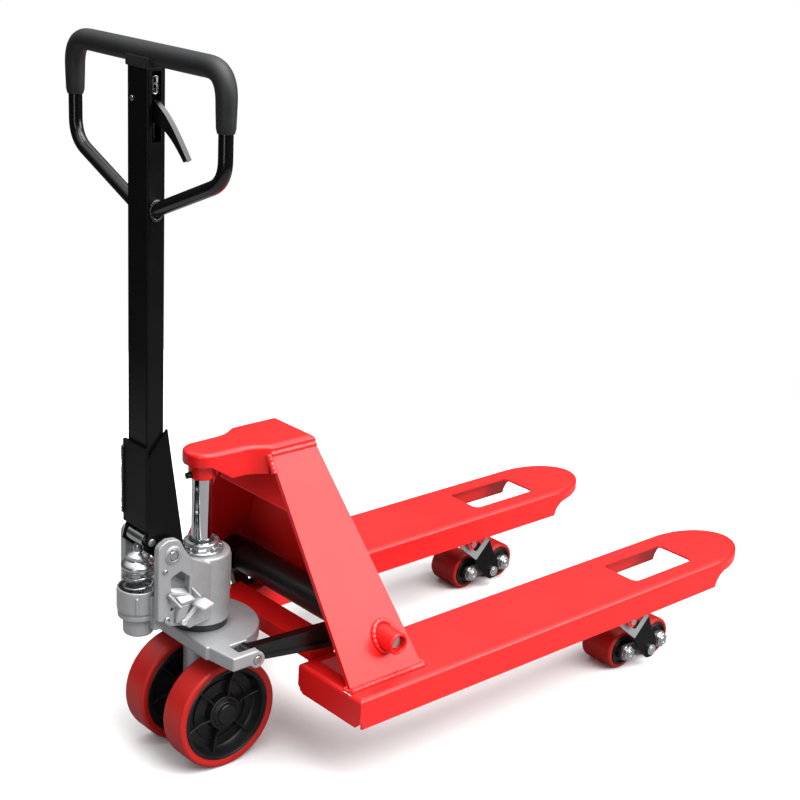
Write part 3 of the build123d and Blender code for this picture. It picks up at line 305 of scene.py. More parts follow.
def sweep_bm(path, radii, seg, up=None):
    """Tube along row-frame points with a radius in millimetres at each point."""
    bm = bmesh.new()
    points = [Vector(p) for p in path]
    rings, side = [], None
    for i, point in enumerate(points):
        along = (points[min(i + 1, len(points) - 1)] - points[max(i - 1, 0)]).normalized()
        if side is None:
            side = Vector(up) if up else along.orthogonal()
        side = (side - along * side.dot(along)).normalized()
        other = along.cross(side)
        r = (radii[i] if hasattr(radii, "__len__") else radii) / 1000
        ring = []
        for k in range(seg):
            a = 2 * pi * k / seg
            ring.append(bm.verts.new(point + side * (r * cos(a)) + other * (r * sin(a))))
        rings.append(ring)
    for low, high in zip(rings, rings[1:]):
        for k in range(seg):
            m = (k + 1) % seg
            bm.faces.new((low[k], low[m], high[m], high[k]))
    bm.faces.new(rings[0][::-1])
    bm.faces.new(rings[-1])
    bmesh.ops.recalc_face_normals(bm, faces=bm.faces)
    return bm


def hull_bm(points, bevel=0.0):
    """Convex piece around points given in millimetres from the foot of the steering axis."""
    bm = bmesh.new()
    for p in points:
        bm.verts.new(at(*p))
    made = bmesh.ops.convex_hull(bm, input=bm.verts)
    inside = [g for g in made["geom_interior"] if isinstance(g, bmesh.types.BMVert)]
    bmesh.ops.delete(bm, geom=inside, context="VERTS")
    bmesh.ops.dissolve_limit(bm, angle_limit=radians(1), verts=bm.verts, edges=bm.edges)
    if bevel:
        bmesh.ops.bevel(bm, geom=list(bm.edges), offset=bevel / 1000, segments=2, profile=0.5, affect="EDGES",
                        clamp_overlap=True)
    bmesh.ops.recalc_face_normals(bm, faces=bm.faces)
    return bm


def wall_bm(outline, holes, side, y_in, y_out, bevel):
    """Upright plate on one side of the jack, from an outline of (x, z) millimetres."""
    def flip(ring):
        """The outline as its own side needs it."""
        return [tuple(p) for p in ring] if side < 0 else [(-p[0], p[1]) for p in ring][::-1]
    return prism_bm(flip(outline), y_out - y_in, at(0, side * y_in, 0), (-side, 0, 0), (0, side, 0),
                    bevel=bevel, holes=[flip(h) for h in holes])


def facing_bm(outline, thick, y, face, bevel):
    """Upright plate that starts at a distance y in metres and faces one way across the jack."""
    line = outline if face < 0 else [(-x, z) for x, z in outline]
    return prism_bm(line, thick, Vector((KING, y, 0)), (-face, 0, 0), (0, face, 0), bevel=bevel)


def to_mesh(*parts):
    """Joins bmeshes into one mesh."""
    whole = bmesh.new()
    for bm in parts:
        mesh = bpy.data.meshes.new("part")
        bm.to_mesh(mesh)
        bm.free()
        whole.from_mesh(mesh)
        bpy.data.meshes.remove(mesh)
    mesh = bpy.data.meshes.new("joined")
    whole.to_mesh(mesh)
    whole.free()
    return mesh


def solid(name, parts, mat, body, replaces, angle=38, weighted=True):
    """A visible piece from one or more closed bmeshes."""
    mesh = to_mesh(*parts)
    shade(mesh, angle)
    obj = new_object(name, mesh, mat, body, replaces)
    if weighted:
        weight_normals(obj)
    return obj


def node_bm(node):
    """A clean copy of a CAD node's mesh: merged, with flat areas as single faces."""
    bm = bmesh.new()
    bm.from_mesh(frame["nodes"][node].data)
    bmesh.ops.remove_doubles(bm, verts=bm.verts, dist=2e-6)
    bmesh.ops.dissolve_limit(bm, angle_limit=radians(0.4), verts=bm.verts, edges=bm.edges)
    bmesh.ops.recalc_face_normals(bm, faces=bm.faces)
    return bm


def refine(node, bevel=0.6, segments=2, mat=None, name=None):
    """A CAD node's shape with its sharp edges rounded so that they catch the light."""
    bm = node_bm(node)
    sharp = [e for e in bm.edges if len(e.link_faces) == 2 and e.calc_face_angle(0) > radians(32)]
    bmesh.ops.bevel(bm, geom=sharp, offset=bevel / 1000, segments=segments, profile=0.5, affect="EDGES",
                    clamp_overlap=True, harden_normals=False)
    slot = NODE_SLOT[node]
    return solid(name or node + "_finished", [bm], mat or NODE_MAT.get(node) or slot, NODE_BODY[node], [node],
                 angle=50)


def cast(name, parts, mat, body, replaces, voxel, smooth):
    """Joins closed parts into one casting with blended, slightly soft edges."""
    mesh = to_mesh(*parts)
    obj = add_object("raw", mesh)
    remesh = obj.modifiers.new("remesh", "REMESH")
    remesh.mode, remesh.voxel_size = "VOXEL", voxel / 1000
    soften = obj.modifiers.new("soften", "SMOOTH")
    soften.factor, soften.iterations = 0.5, smooth
    done = bpy.data.meshes.new_from_object(obj.evaluated_get(bpy.context.evaluated_depsgraph_get()))
    bpy.data.objects.remove(obj)
    done.shade_smooth()
    return new_object(name, done, mat, body, replaces)


def weld(name, path, radius, mat, body, replaces=(), pitch=4.2, seed=1, ripples=0.24):
    """A weld bead: overlapping ripples and a slightly wandering line along row-frame points."""
    rng = np.random.default_rng(seed)
    points = [Vector(p) for p in path]
    dense = [points[0]]
    for a, b in zip(points, points[1:]):
        steps = max(1, int((b - a).length / 0.0007))
        dense += [a.lerp(b, (k + 1) / steps) for k in range(steps)]
    count = len(dense)
    knots = np.arange(0, count + 9, 9)
    wander = np.interp(np.arange(count), knots, rng.standard_normal(len(knots)))
    radii, length = [], 0.0
    for i, p in enumerate(dense):
        length += (p - dense[i - 1]).length if i else 0
        ripple = abs(sin(pi * length * 1000 / pitch))
        radii.append(radius * (0.98 - ripples + ripples * ripple ** 0.6 + 0.25 * ripples * wander[i]))
    taper = max(2, int(count * 0.02))
    for k in range(taper):
        share = 0.35 + 0.65 * k / taper
        radii[k] *= share
        radii[-1 - k] *= share
    return solid(name, [sweep_bm(dense, radii, seg=14)], mat, body, replaces, angle=60, weighted=False)


# ------------------------------------------------------------------ frame and forks
FOOT_Y, FOOT_Z, HEAD_Y, HEAD_Z = 244, 171, 52, 496  # outer faces of the side plates
LEAN = (FOOT_Y - HEAD_Y) / (HEAD_Z - FOOT_Z)
REAR_X, FRONT_X = (106, 90), (251, 178)  # their handle side and load side, at foot and head
HEAD_TOP = 510
NOSE_START, NOSE_BLEND = 26, 32
NOSE_SHALLOWER, NOSE_SHORTER, NOSE_SLIMMER = 0.16, 0.12, 0.05
COLLAR_SLIM, COLLAR_BORE = 0.9, 18
COLLAR_RIM, COLLAR_SEAT = 464, 478  # heights that bound the collar's lower rim and its seat
FOLD = ((95, 414, 87), (99, 411, 88), (117, 466, 58), (112, 468, 57))  # x, height and half width
ROD_EDGE = 2


def plate_face(side, share_x, z, lift=0.0):
    """A point on a side plate's outer face: share_x runs from its handle side to its load side."""
    share_z = (z - FOOT_Z) / (HEAD_Z - FOOT_Z)
    rear = REAR_X[0] + share_z * (REAR_X[1] - REAR_X[0])
    front = FRONT_X[0] + share_z * (FRONT_X[1] - FRONT_X[0])
    return at(rear + share_x * (front - rear), side * (FOOT_Y - (z - FOOT_Z) * LEAN + lift), z)


def make_head():
    """Head with a nose a little shallower and slimmer than its neck, the fold below it and the collar."""
    head = node_bm("head")
    for v in head.verts:
        x, z = (v.co.x - KING) * 1000, v.co.z * 1000
        share = min(1, max(0, (NOSE_START - x) / NOSE_BLEND))
        share = share * share * (3 - 2 * share)
        v.co.z += share * NOSE_SHALLOWER * (HEAD_TOP - z) / 1000
        v.co.x += share * max(0, -x) * NOSE_SHORTER / 1000
        v.co.y *= 1 - NOSE_SLIMMER * share
    cast("head_pressing", [head], "red_paint", "frame", ["head"], voxel=1.2, smooth=4)
    fold = hull_bm([(x, s * reach, z) for x, z, reach in FOLD for s in (-1, 1)], 1.2)
    solid("neck_fold", [fold], "red_paint", "frame", (), angle=40)
    collar = node_bm("piston_collar")
    for v in collar.verts:
        x, z = (v.co.x - KING) * 1000, v.co.z * 1000
        if hypot(x, v.co.y * 1000) > COLLAR_BORE:
            v.co.x, v.co.y = KING + x * COLLAR_SLIM / 1000, v.co.y * COLLAR_SLIM
        v.co.z += (4 if z < COLLAR_RIM else 5 if z > COLLAR_SEAT or x > 5 else 0) / 1000
    cast("collar_ring", [collar], "red_paint", "frame", ["piston_collar"], voxel=0.9, smooth=3)


def make_frame():
    """Forks, plates and head, and the chrome rod that carries them."""
    for side in SIDES:
        refine(f"fork_{side}", 0.9)
        refine(f"side_plate_{side}", 1.4, 3)
    refine("fork_stiffeners", 0.8)
    refine("front_plate", 1.2)
    refine("leg_ears", 1.0, 3)
    refine("leg_pivot_pins", 1.0, 3)
    refine("piston_lock_screw", 0.5, 3)
    make_head()
    low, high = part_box("piston_rod")
    r, tall = (high.x - low.x) * 500, (high.z - low.z) * 1000
    rod = [(0, 0), (r - ROD_EDGE, 0), (r, ROD_EDGE), (r, tall), (0, tall)]
    rod = lathe_bm(rod, Vector((KING, 0, low.z)), UP, 96)
    solid("piston_chrome", [rod], "chrome", "frame", ["piston_rod"])


BUSH_R, BUSH_BORE, BUSH_INNER = 18, 12.1, 185
SHAFT_R, SHAFT_START = 12, 144
BUSH_WELD_R, BUSH_BEAD, BUSH_STEPS, BUSH_RIPPLES = 20.5, 4.6, 240, 20


def make_bushes():
    """Bush tubes with a rolled end, the shaft ends inside them and their weld rings."""
    low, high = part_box("shaft_bushes")
    mid = (low + high) / 2
    axis_foot = Vector((mid.x, 0, mid.z))
    out = high.y * 1000
    parts = []
    for s in SIDES.values():
        profile = [(BUSH_BORE, BUSH_INNER), (BUSH_R, BUSH_INNER), (BUSH_R, out - 3), (16.5, out - 0.5),
                   (15.5, out), (13.8, out), (13.2, out - 1), (13.2, out - 9), (BUSH_BORE, out - 9),
                   (BUSH_BORE, BUSH_INNER)]
        parts.append(lathe_bm([(r, s * h) for r, h in profile], axis_foot, ACROSS, 72))
    solid("bush_tubes", parts, "red_paint", "frame", ["shaft_bushes"], angle=30)
    low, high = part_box("rocker_shafts")
    parts = []
    for s in SIDES.values():
        end = high.y * 1000 - 3
        profile = [(0, SHAFT_START), (SHAFT_R, SHAFT_START), (SHAFT_R, end - 12), (10.5, end - 6),
                   (10, end - 2), (9, end - 0.6), (0, end)]
        parts.append(lathe_bm([(r, s * h) for r, h in profile], axis_foot, ACROSS, 64))
    solid("shaft_ends", parts, "steel", "rocker", ["rocker_shafts"], angle=30)
    parts = []
    for s in SIDES.values():
        rng = np.random.default_rng(7)
        ring, z0 = [], mid.z * 1000
        for k in range(BUSH_STEPS + 1):
            a = 2 * pi * k / BUSH_STEPS
            z = z0 + BUSH_WELD_R * cos(a)
            y = FOOT_Y - (z - FOOT_Z) * LEAN + 1.2
            ring.append(at((mid.x - KING) * 1000 + BUSH_WELD_R * sin(a), s * y, z))
        radii = []
        for k in range(BUSH_STEPS + 1):
            ripple = abs(sin(BUSH_RIPPLES * pi * k / BUSH_STEPS))
            radii.append(BUSH_BEAD * (0.86 + 0.14 * ripple + 0.03 * rng.standard_normal()))
        parts.append(sweep_bm(ring, radii, seg=12))
    solid("bush_welds", parts, "weld", "frame", (), angle=60, weighted=False)


def make_welds():
    """Beads round the feet of the side plates, along their tops and down beside the neck of the head."""
    for name, s in SIDES.items():
        outer = [plate_face(s, u, FOOT_Z + 0.8, 2.2) for u in (-0.03, 1.03)]
        inner = [plate_face(s, u, FOOT_Z + 1.5, -11.0) for u in (-0.02, 1.02)]
        weld(f"foot_weld_outer_{name}", outer, 5.6, "weld", "frame", ["weld_beads"] if s > 0 else ())
        weld(f"foot_weld_inner_{name}", inner, 4.0, "weld", "frame", seed=2)
        ends = [plate_face(s, -0.03, FOOT_Z + 1.5, h) for h in (1.5, -10.5)]
        weld(f"foot_weld_rear_{name}", ends, 3.6, "weld", "frame", seed=3)
        ends = [plate_face(s, 1.03, FOOT_Z + 1.5, h) for h in (1.5, -10.5)]
        weld(f"foot_weld_front_{name}", ends, 3.6, "weld", "frame", seed=4)
        top = [plate_face(s, u, HEAD_Z + 0.5, 0.2) for u in (-0.02, 1.0)]
        weld(f"head_weld_{name}", top, 4.8, "weld", "frame", seed=5, pitch=14, ripples=0.09)
        down = [plate_face(s, -0.03, z, -2.5) for z in (HEAD_Z + 1, HEAD_Z - 27)]
        weld(f"neck_weld_{name}", down, 5.0, "weld", "frame", seed=6, pitch=7, ripples=0.15)


# ------------------------------------------------------------------ wheels and rollers
def hex_profile(radius):
    """Corners of a hexagon."""
    return [(radius * cos(pi * k / 3), radius * sin(pi * k / 3)) for k in range(6)]


def nut_bm(radius, thick, origin, axis, turn=0.0):
    """Hexagon nut with rounded corners, on an axle that lies across the jack."""
    x = Vector((cos(turn), 0, sin(turn)))
    return prism_bm(rounded(hex_profile(radius), 1.0, steps=3), thick, origin, x, axis, bevel=0.9)


WHEEL_RIBS, RIB_THICK, RIB_TURN = 6, 3.4, 14


def make_steer_wheels():
    """Tyres, and hubs with a hollow web and a rib on each side of every spoke line."""
    for name, s in SIDES.items():
        mid = centre(f"steer_tyre_{name}")
        body = f"steer_wheel_{name}"
        facing = (0, s, 0)
        tyre = [(78, -23), (84, -25), (86.5, -24.6), (88.6, -23.2), (89.7, -21), (90, -18), (90, 18),
                (89.7, 21), (88.6, 23.2), (86.5, 24.6), (84, 25), (78, 23), (77, 22), (77, -22), (78, -23)]
        solid(f"steer_wheel_tyre_{name}", [lathe_bm(tyre, mid, facing, 128)], "red_pu", body,
              [f"steer_tyre_{name}"], angle=50)
        hub = [(12.1, -23), (24, -23), (24.6, -22), (25.5, -6), (28, -5), (60, -5), (66, -8), (68, -20),
               (69, -22.5), (70, -23.6), (76, -23.6), (77.2, -22), (77.2, 22), (76, 23.4), (73.5, 23.6),
               (72.6, 22.8), (72.4, 21.4), (70.6, 20.8), (69.4, 18), (67.5, 6), (64.5, 2.6), (50.5, 1.8),
               (49.6, 4.2), (47.2, 4.2), (46.4, 1.8), (33, 2.4), (30, 4), (28.6, 8), (27.8, 15.4),
               (26.6, 16.8), (23.4, 17), (22.6, 17.8), (21.8, 20.4), (20.6, 21.4), (18.8, 21.4),
               (18, 20.4), (17.4, 20.6), (16.8, 22.8), (15.4, 24), (8, 24.8), (0, 25)]
        parts = [lathe_bm(hub, mid, facing, 128)]
        for k in range(WHEEL_RIBS):
            a = radians(360 / WHEEL_RIBS * k + RIB_TURN)
            out = Vector((cos(a), 0, sin(a)))
            for face in (1, -1):
                side = out.cross(Vector((0, face * s, 0)))
                rib = rounded([(22, 0), (22, 15.4), (29, 15.4, 4), (44, 11.2, 30), (69, 15.4), (69, 0)], 0.8)
                parts.append(prism_bm(rib, RIB_THICK, mid - side * 0.0017, out, side, bevel=1.0))
        solid(f"steer_wheel_hub_{name}", parts, "black_nylon", body, [f"wheel_hub_{name}"],
              angle=34, weighted=False)
    refine("wheel_axle", 1.5, 3)


BOLT_REACH, BOLT_FACE = 0.045, 0.0441  # metres from the middle of the bogie
BOLT_R = 6
NUT_R, NUT_THICK, WASHER_R = 13.2, 5.6, 14.5


def make_load_roller(name, end):
    """One load roller: its tyre, and its core with stepped faces."""
    mid = centre(f"roller_tyre_{name}_{end}")
    body = f"roller_{name}_{end}"
    tyre = [(27, -31), (28.5, -33), (31.5, -33), (33.6, -31.8), (34.8, -29.6), (35, -27), (35, 27),
            (34.8, 29.6), (33.6, 31.8), (31.5, 33), (28.5, 33), (27, 31), (27, -31)]
    solid(f"load_roller_tyre_{name}_{end}", [lathe_bm(tyre, mid, ACROSS, 96)], "red_pu", body,
          [f"roller_tyre_{name}_{end}"], angle=50)
    core = [(6.1, 37.5), (13, 37.5), (14, 36.6), (14.2, 33), (15, 31), (21.5, 31), (22.6, 32), (23.4, 34.6),
            (24.4, 35), (26.4, 35), (27.1, 34.2), (27.2, 31)]
    core = [(r, -h) for r, h in core] + [(r, h) for r, h in reversed(core)] + [(6.1, -37.5)]
    solid(f"load_roller_core_{name}_{end}", [lathe_bm(core, mid, ACROSS, 96)], "black_nylon", body,
          [f"roller_core_{name}_{end}"], angle=34)


def make_rollers():
    """Load rollers, their bolts with washers and nuts, and the legs that carry them."""
    for name, s in SIDES.items():
        for end in ("rear", "front"):
            make_load_roller(name, end)
        low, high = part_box(f"axle_bolts_{name}")
        mid = (low + high) / 2
        washer = [(BOLT_R, 0), (14, 0), (WASHER_R, 0.4), (WASHER_R, 1.3), (14, 1.7), (BOLT_R, 1.7)]
        tip = [(0, 5), (7.4, 5), (7.4, 8.0), (6.6, 8.8), (4.4, 8.8), (4, 8.2), (0, 8.2)]
        shank = [(0, -44), (BOLT_R, -44), (BOLT_R, 44), (0, 44)]
        parts = []
        for x in (-BOLT_REACH, BOLT_REACH):
            for e in (-1, 1):
                face = Vector((mid.x + x, mid.y + e * BOLT_FACE, mid.z))
                parts.append(lathe_bm(washer, face, (0, e, 0), 48))
                parts.append(nut_bm(NUT_R, NUT_THICK, face + Vector((0, e * 0.0016, 0)), (0, e, 0), 0.35))
                parts.append(lathe_bm(tip, face, (0, e, 0), 40))
            parts.append(lathe_bm(shank, Vector((mid.x + x, mid.y, mid.z)), ACROSS, 40))
        solid(f"roller_axles_{name}", parts, "zinc", f"bogie_{name}", [f"axle_bolts_{name}"],
              angle=34)
        make_leg(name, s)


BOGIE, BOGIE_Z = 803, 35  # bogie pin
CHEEK_FACE, CHEVRON_FACE, PIN_FACE, PLATE_FACE = 0.0536, 0.0592, 0.0602, 0.038  # metres from the leg's middle


def make_leg(name, s):
    """Load leg with pressed cheeks, a bright grey chevron under each ear as a painted highlight of the leg's lit
    face, its bogie plates and pin heads.
    """
    mid = centre(f"axle_bolts_{name}").y
    cheek = rounded([(712, 104), (735, 96), (757, 80), (779, 108, 4), (788, 108, 4), (800, 80, 20),
                     (815, 58, 12), (820, 34, 16), (812, 19, 9), (796, 19, 9), (778, 40, 14), (758, 62, 6),
                     (742, 84, 6)], 2)
    chevron = rounded([(704, 112, 2), (713, 105, 2), (754, 71, 4), (788, 106, 3), (779, 115, 3), (753, 89, 6),
                       (722, 112, 3)], 2)
    pin = [(0, 0), (9.4, 0), (9.8, 0.5), (9.6, 2.4), (8.2, 3.6), (6.6, 3.7), (6, 3.2), (5.4, 3.7), (0, 4)]
    cheeks, highlight_chevrons, pin_heads = [node_bm(f"leg_{name}")], [], []
    for e in (-1, 1):
        cheeks.append(facing_bm(cheek, 6.6, mid + e * CHEEK_FACE, e, 1.2))
        highlight_chevrons.append(facing_bm(chevron, 1.6, mid + e * CHEVRON_FACE, e, 0.3))
        foot = at(BOGIE, 0, BOGIE_Z) + Vector((0, mid + e * PIN_FACE, 0))
        pin_heads.append(lathe_bm(pin, foot, (0, e, 0), 48))
    solid(f"leg_cheeks_{name}", cheeks, "black_matt", f"leg_{name}", [f"leg_{name}"])
    # painted highlight: a thin grey plate under each ear stands in for the light that the leg's face catches
    solid(f"leg_chevrons_{name}", highlight_chevrons, "grey_forging", f"leg_{name}", ())
    refine(f"leg_pins_{name}", 1.0, 3)
    solid(f"leg_pin_heads_{name}", pin_heads, "zinc", f"leg_{name}", (), angle=34)
    plate = rounded([(-57, 35, 12), (-57, 21, 9), (-36, 21, 9), (-9, 24, 8), (9, 24, 8), (36, 21, 9),
                     (57, 21, 9), (57, 35, 12), (57, 49, 9), (36, 49, 9), (10, 44, 10), (-10, 44, 10),
                     (-36, 49, 9), (-57, 49, 9)], 2)
    for e in (-1, 1):
        line = [(x + BOGIE, z) for x, z in plate]
        if e > 0:
            line = line[::-1]
        tag = "inner" if e * s < 0 else "outer"
        solid(f"bogie_plate_{name}_{tag}", [facing_bm(line, 6, mid + e * PLATE_FACE, e, 1.0)], "bogie_steel",
              f"bogie_{name}", [f"bogie_plates_{name}"] if e > 0 else ())


# ------------------------------------------------------------------ linkage and base
def make_linkage():
    """Thrust plate, rocker arms and the rods and pins that lower the legs."""
    cast("thrust_plate_forging", [node_bm("thrust_plate")], "grey_forging", "base", ["thrust_plate"],
         voxel=1.4, smooth=5)
    refine("rocker_pins", 1.2, 3)
    refine("thrust_bearing", 0.8)
    refine("rocker_arms", 1.6, 3, mat="black_gloss", name="rocker_forging")
    for node in ("torsion_tube", "crank_pins", "push_rod_left", "push_rod_right"):
        refine(node, 0.8)


# ------------------------------------------------------------------ pump
TOP = Vector((KING, 0, 0))  # foot of the cylinder's axis
CUP = Vector((centre("pump_spring").x, 0, 0))  # foot of the plunger's axis
HINGE_AT = next(j for j in frame["joints"] if j["name"] == "handle_swing")["pos_m"]
HINGE = ((HINGE_AT[0] - KING) * 1000, HINGE_AT[2] * 1000)
PIN_BORE = 8.05
CHEEK_IN, CHEEK_OUT = 39, 51.4  # faces of the cheeks that hold the handle, from the middle
ROD_BORE = 16.05


def disc(x, z, radius, steps=20):
    """Round outline about a point."""
    return [(x + radius * cos(2 * pi * k / steps), z + radius * sin(2 * pi * k / steps))
            for k in range(steps)]


def outward(degrees):
    """Level direction at an angle about an upright axis, and the direction a quarter turn behind it."""
    a = radians(degrees)
    out = Vector((cos(a), sin(a), 0))
    return out, out.cross(Vector(UP))


def make_pump():
    """Casting: cylinder, plunger cup, the block between them and the two cheeks of the handle hinge."""
    cylinder = [(0, 66), (25, 66), (26, 67), (26, 233), (43.4, 233), (44.6, 234), (45, 236), (45, 342),
                (44, 344.2), (42, 345.2), (38.5, 345.2), (0, 345.2)]
    cup = [(0, 237), (19, 237), (22.4, 238.6), (23.4, 242), (23.4, 266), (29.5, 266), (31.4, 267.4),
           (31.4, 273.4), (30.4, 274.4), (30.4, 276.4), (32.2, 278), (32.8, 280), (32.6, 311),
           (32.2, 313.4), (31, 314.6), (29.8, 314.6), (28.8, 313), (28.8, 271), (13, 271), (13, 292),
           (9.05, 292), (9.6, 290), (9.6, 240), (0, 240)]
    parts = [
        lathe_bm(cylinder, TOP, UP, 128),
        lathe_bm(cup, CUP, UP, 96),
        hull_bm([(x, y, z) for x in (-113, -28) for y in (-41, 41) for z in (254, 306)]),
    ]
    window = rounded([(-90.4, 313.5), (-57, 303.6), (-57, 332), (-72.8, 345), (-90.5, 338)], 1.5)
    cheek = rounded([(-113.5, 272, 4), (-100, 268, 3), (-95, 260, 3), (-68, 254, 4), (-54, 245), (-54, 361),
                     (-67, 379, 14), (-75, 398, 16), (-96, 400.5, 12), (-113.5, 392, 16)], 1)
    boss = [(PIN_BORE, -2), (13.6, -2), (13.6, 1.6), (12.6, 2.4), (PIN_BORE, 2.4), (PIN_BORE, -2)]
    cup_rib = [(30, 279), (35, 281), (35, 306), (30, 308)]
    cylinder_rib = [(43, 276), (46.4, 278), (46.4, 339), (43, 341)]
    for s in SIDES.values():
        near = s < 0
        holes = [window, disc(*HINGE, PIN_BORE, 36)]
        if near:
            holes += [disc(-88.5, 286, 2.6), disc(-79, 269, 2.4)]
        parts.append(wall_bm(cheek, holes, s, CHEEK_IN, CHEEK_OUT, bevel=1.2))
        parts.append(hull_bm([(-57.2, s * y, z) for y in (CHEEK_IN, CHEEK_OUT) for z in (246, 362.5)] +
                             [(-12, s * y, z) for y in (30, 43.4) for z in (246, 338)]))
        parts.append(hull_bm([(-112, s * y, z) for y in (24, 50) for z in (276, 306)] +
                             [(-104, s * y, z) for y in (24, 50) for z in (274, 306)]))
        parts.append(lathe_bm(boss, at(HINGE[0], s * CHEEK_OUT, HINGE[1]), (0, s, 0), 64))
        out, turn = outward(234 if near else 126)
        parts.append(prism_bm(cup_rib, 3.4, CUP - turn * 0.0017, out, turn, bevel=0.6))
        out, turn = outward(-38 if near else 38)
        parts.append(prism_bm(cylinder_rib, 3, TOP - turn * 0.0015, out, turn, bevel=0.6))
    cast("pump_casting", parts, "pump_paint", "pump", ["pump_body"], voxel=1.0, smooth=3)
    make_valve()
    make_gland()
    make_hinge_pin()
    make_spring()
    make_plunger()


def bar_bm(start, end, wide, high, up, bevel=0.7):
    """Straight rectangular bar between two points given in millimetres."""
    a, b = Vector(start), Vector(end)
    along = (b - a).normalized()
    rise = (Vector(up) - along * Vector(up).dot(along)).normalized()
    flank = along.cross(rise)
    corners = [(p, u, v) for p in (a, b) for u in (-1, 1) for v in (-1, 1)]
    return hull_bm([p + flank * (u * wide / 2) + rise * (v * high / 2) for p, u, v in corners], bevel)


TEETH = 7


def make_valve():
    """Chute with two rails under the window, the toothed pedal of the lowering valve, and two plugs."""
    chute = [
        hull_bm([(-89.5, -42, 319), (-57.5, -42, 310), (-88, -42, 284), (-56, -42, 280), (-76, -58, 295),
                 (-45.5, -55, 295.5), (-70, -53, 284), (-48, -50, 284)], 0.8),
        bar_bm((-97, -52.5, 313.5), (-80.5, -63, 291), 4.6, 5.5, (0.5, -1, 0.6)),
        bar_bm((-53, -48, 312), (-44.5, -60, 298.5), 4.0, 5.0, (0.5, -1, 0.6)),
        hull_bm([(-84, -50, 262), (-84, -55, 264), (-84, -50, 292), (-80, -58, 290), (-66, -50, 256),
                 (-66, -54, 258), (-60, -50, 290), (-60, -55, 288)], 0.8),
    ]
    solid("valve_chute", chute, "pump_paint", "pump", (), angle=40)
    pedal = [hull_bm([(-53, -47, 287.4), (-27, -47.5, 288.4), (-24, -68, 285.6), (-45, -73.5, 284.8),
                      (-53, -47, 283), (-27, -47.5, 284), (-24, -68, 282), (-45, -73.5, 281.4)], 0.6)]
    for k in range(TEETH):
        share = (k + 0.6) / (TEETH + 0.2)
        edge = Vector((-53.2, -48, 286.2)).lerp(Vector((-45.4, -73, 283.8)), share)
        root = [(0.5, 1.3, 1.2), (0.5, -1.3, 1.2), (0.5, 1.3, -2), (0.5, -1.3, -2)]
        crest = [(-1.9, 0.4, 1.2), (-1.9, -0.4, 1.2), (-1.9, 0.4, -2), (-1.9, -0.4, -2)]
        pedal.append(hull_bm([edge + Vector(d) for d in root + crest]))
    pedal.append(bar_bm((-70, -55.4, 262), (-47, -56, 283), 7, 3.6, (0, -1, 0)))
    pivot = [(0, -6), (5, -6), (5, 5.4), (4.4, 6), (2.6, 6), (2.2, 5.2), (0, 5.2)]
    pedal.append(lathe_bm(pivot, at(-70, -52, 262), (0, -1, 0), 40))
    solid("release_pedal", pedal, "bright_casting", "release_lever", ["release_lever"],
          angle=40)
    plugs = []
    for x, z, r in ((-97, 271, 5.8), (-101, 352, 3.6)):
        plug = [(0, -5), (r, -5), (r, 2.4), (r - 0.6, 3), (r * 0.55, 3), (r * 0.5, 2.4), (r * 0.5, 0.4),
                (0, 0.4)]
        plugs.append(lathe_bm(plug, at(x, -CHEEK_OUT, z), (0, -1, 0), 40))
    solid("valve_plugs", plugs, "zinc", "pump", ["valve_screws"], angle=34)


def make_gland():
    """Notched ring around the rod, on its seat, with a thin seal."""
    nut = [(ROD_BORE, 345.4), (27, 345.4), (27.6, 346), (27.6, 359.4), (26.6, 360.6), (20.4, 361),
           (19.4, 360), (ROD_BORE, 360), (ROD_BORE, 345.4)]
    seat = [(26, 345.2), (33.4, 345.2), (34, 346), (34, 348.4), (33, 349.4), (26, 350), (26, 345.2)]
    gland = [lathe_bm(nut, TOP, UP, 96), lathe_bm(seat, TOP, UP, 96)]
    lug = [(26, 348.6), (32, 348.6), (32, 353.4), (30.6, 355.4), (26, 356)]
    for k in range(8):
        out, side = outward(45 * k + 12)
        gland.append(prism_bm(lug, 13, TOP - side * 0.0065, out, side, bevel=0.8))
    solid("gland_ring", gland, "zinc", "pump", ["gland_nut"], angle=34)
    seal = [(ROD_BORE, 359), (18.8, 359), (19.2, 360.6), (18.6, 362.2), (16.8, 362.8), (ROD_BORE, 362),
            (ROD_BORE, 359)]
    solid("gland_seal", [lathe_bm(seal, TOP, UP, 64)], "grip_rubber", "pump", ())


def make_hinge_pin():
    """Pin of the handle hinge, with an open spring clip at each end."""
    pin = [(0, -54.5), (6.6, -54.5), (7.6, -53.6), (7.9, -52), (7.9, 52), (7.6, 53.6), (6.6, 54.5), (0, 54.5)]
    pin = lathe_bm(pin, at(HINGE[0], 0, HINGE[1]), ACROSS, 48)
    solid("hinge_pin", [pin], "steel", "pump", ["handle_pin"], angle=34)
    clips = []
    for s in SIDES.values():
        arc = [radians(150 + 5 * k) for k in range(63)]
        ring = [(11 * cos(a), 11 * sin(a)) for a in arc]
        ring += [(7.95 * cos(a), 7.95 * sin(a)) for a in arc[::-1]]
        ring = [(HINGE[0] + x, HINGE[1] + z) for x, z in ring]
        clips.append(wall_bm(ring, [], s, 53.7, 54.9, bevel=0.3))
    solid("hinge_clips", clips, "zinc", "pump", (), angle=34)


COIL_R, WIRE_R, TURNS, COIL_STEPS = 0.0215, 2.5, 6.0, 360


def make_spring():
    """Coil spring of the plunger: closed end coils, open middle."""
    low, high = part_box("pump_spring")
    points = []
    for k in range(COIL_STEPS + 1):
        t = k / COIL_STEPS
        ease = min(1, max(0, (t - 0.12) / 0.76))
        z = low.z + 0.0024 + (high.z - low.z - 0.0048) * (0.06 * t + 0.94 * ease)
        a = 2 * pi * TURNS * t
        points.append(Vector((CUP.x + COIL_R * cos(a), COIL_R * sin(a), z)))
    solid("plunger_spring", [sweep_bm(points, WIRE_R, seg=14)], "spring_steel", "pump", ["pump_spring"],
          angle=60, weighted=False)


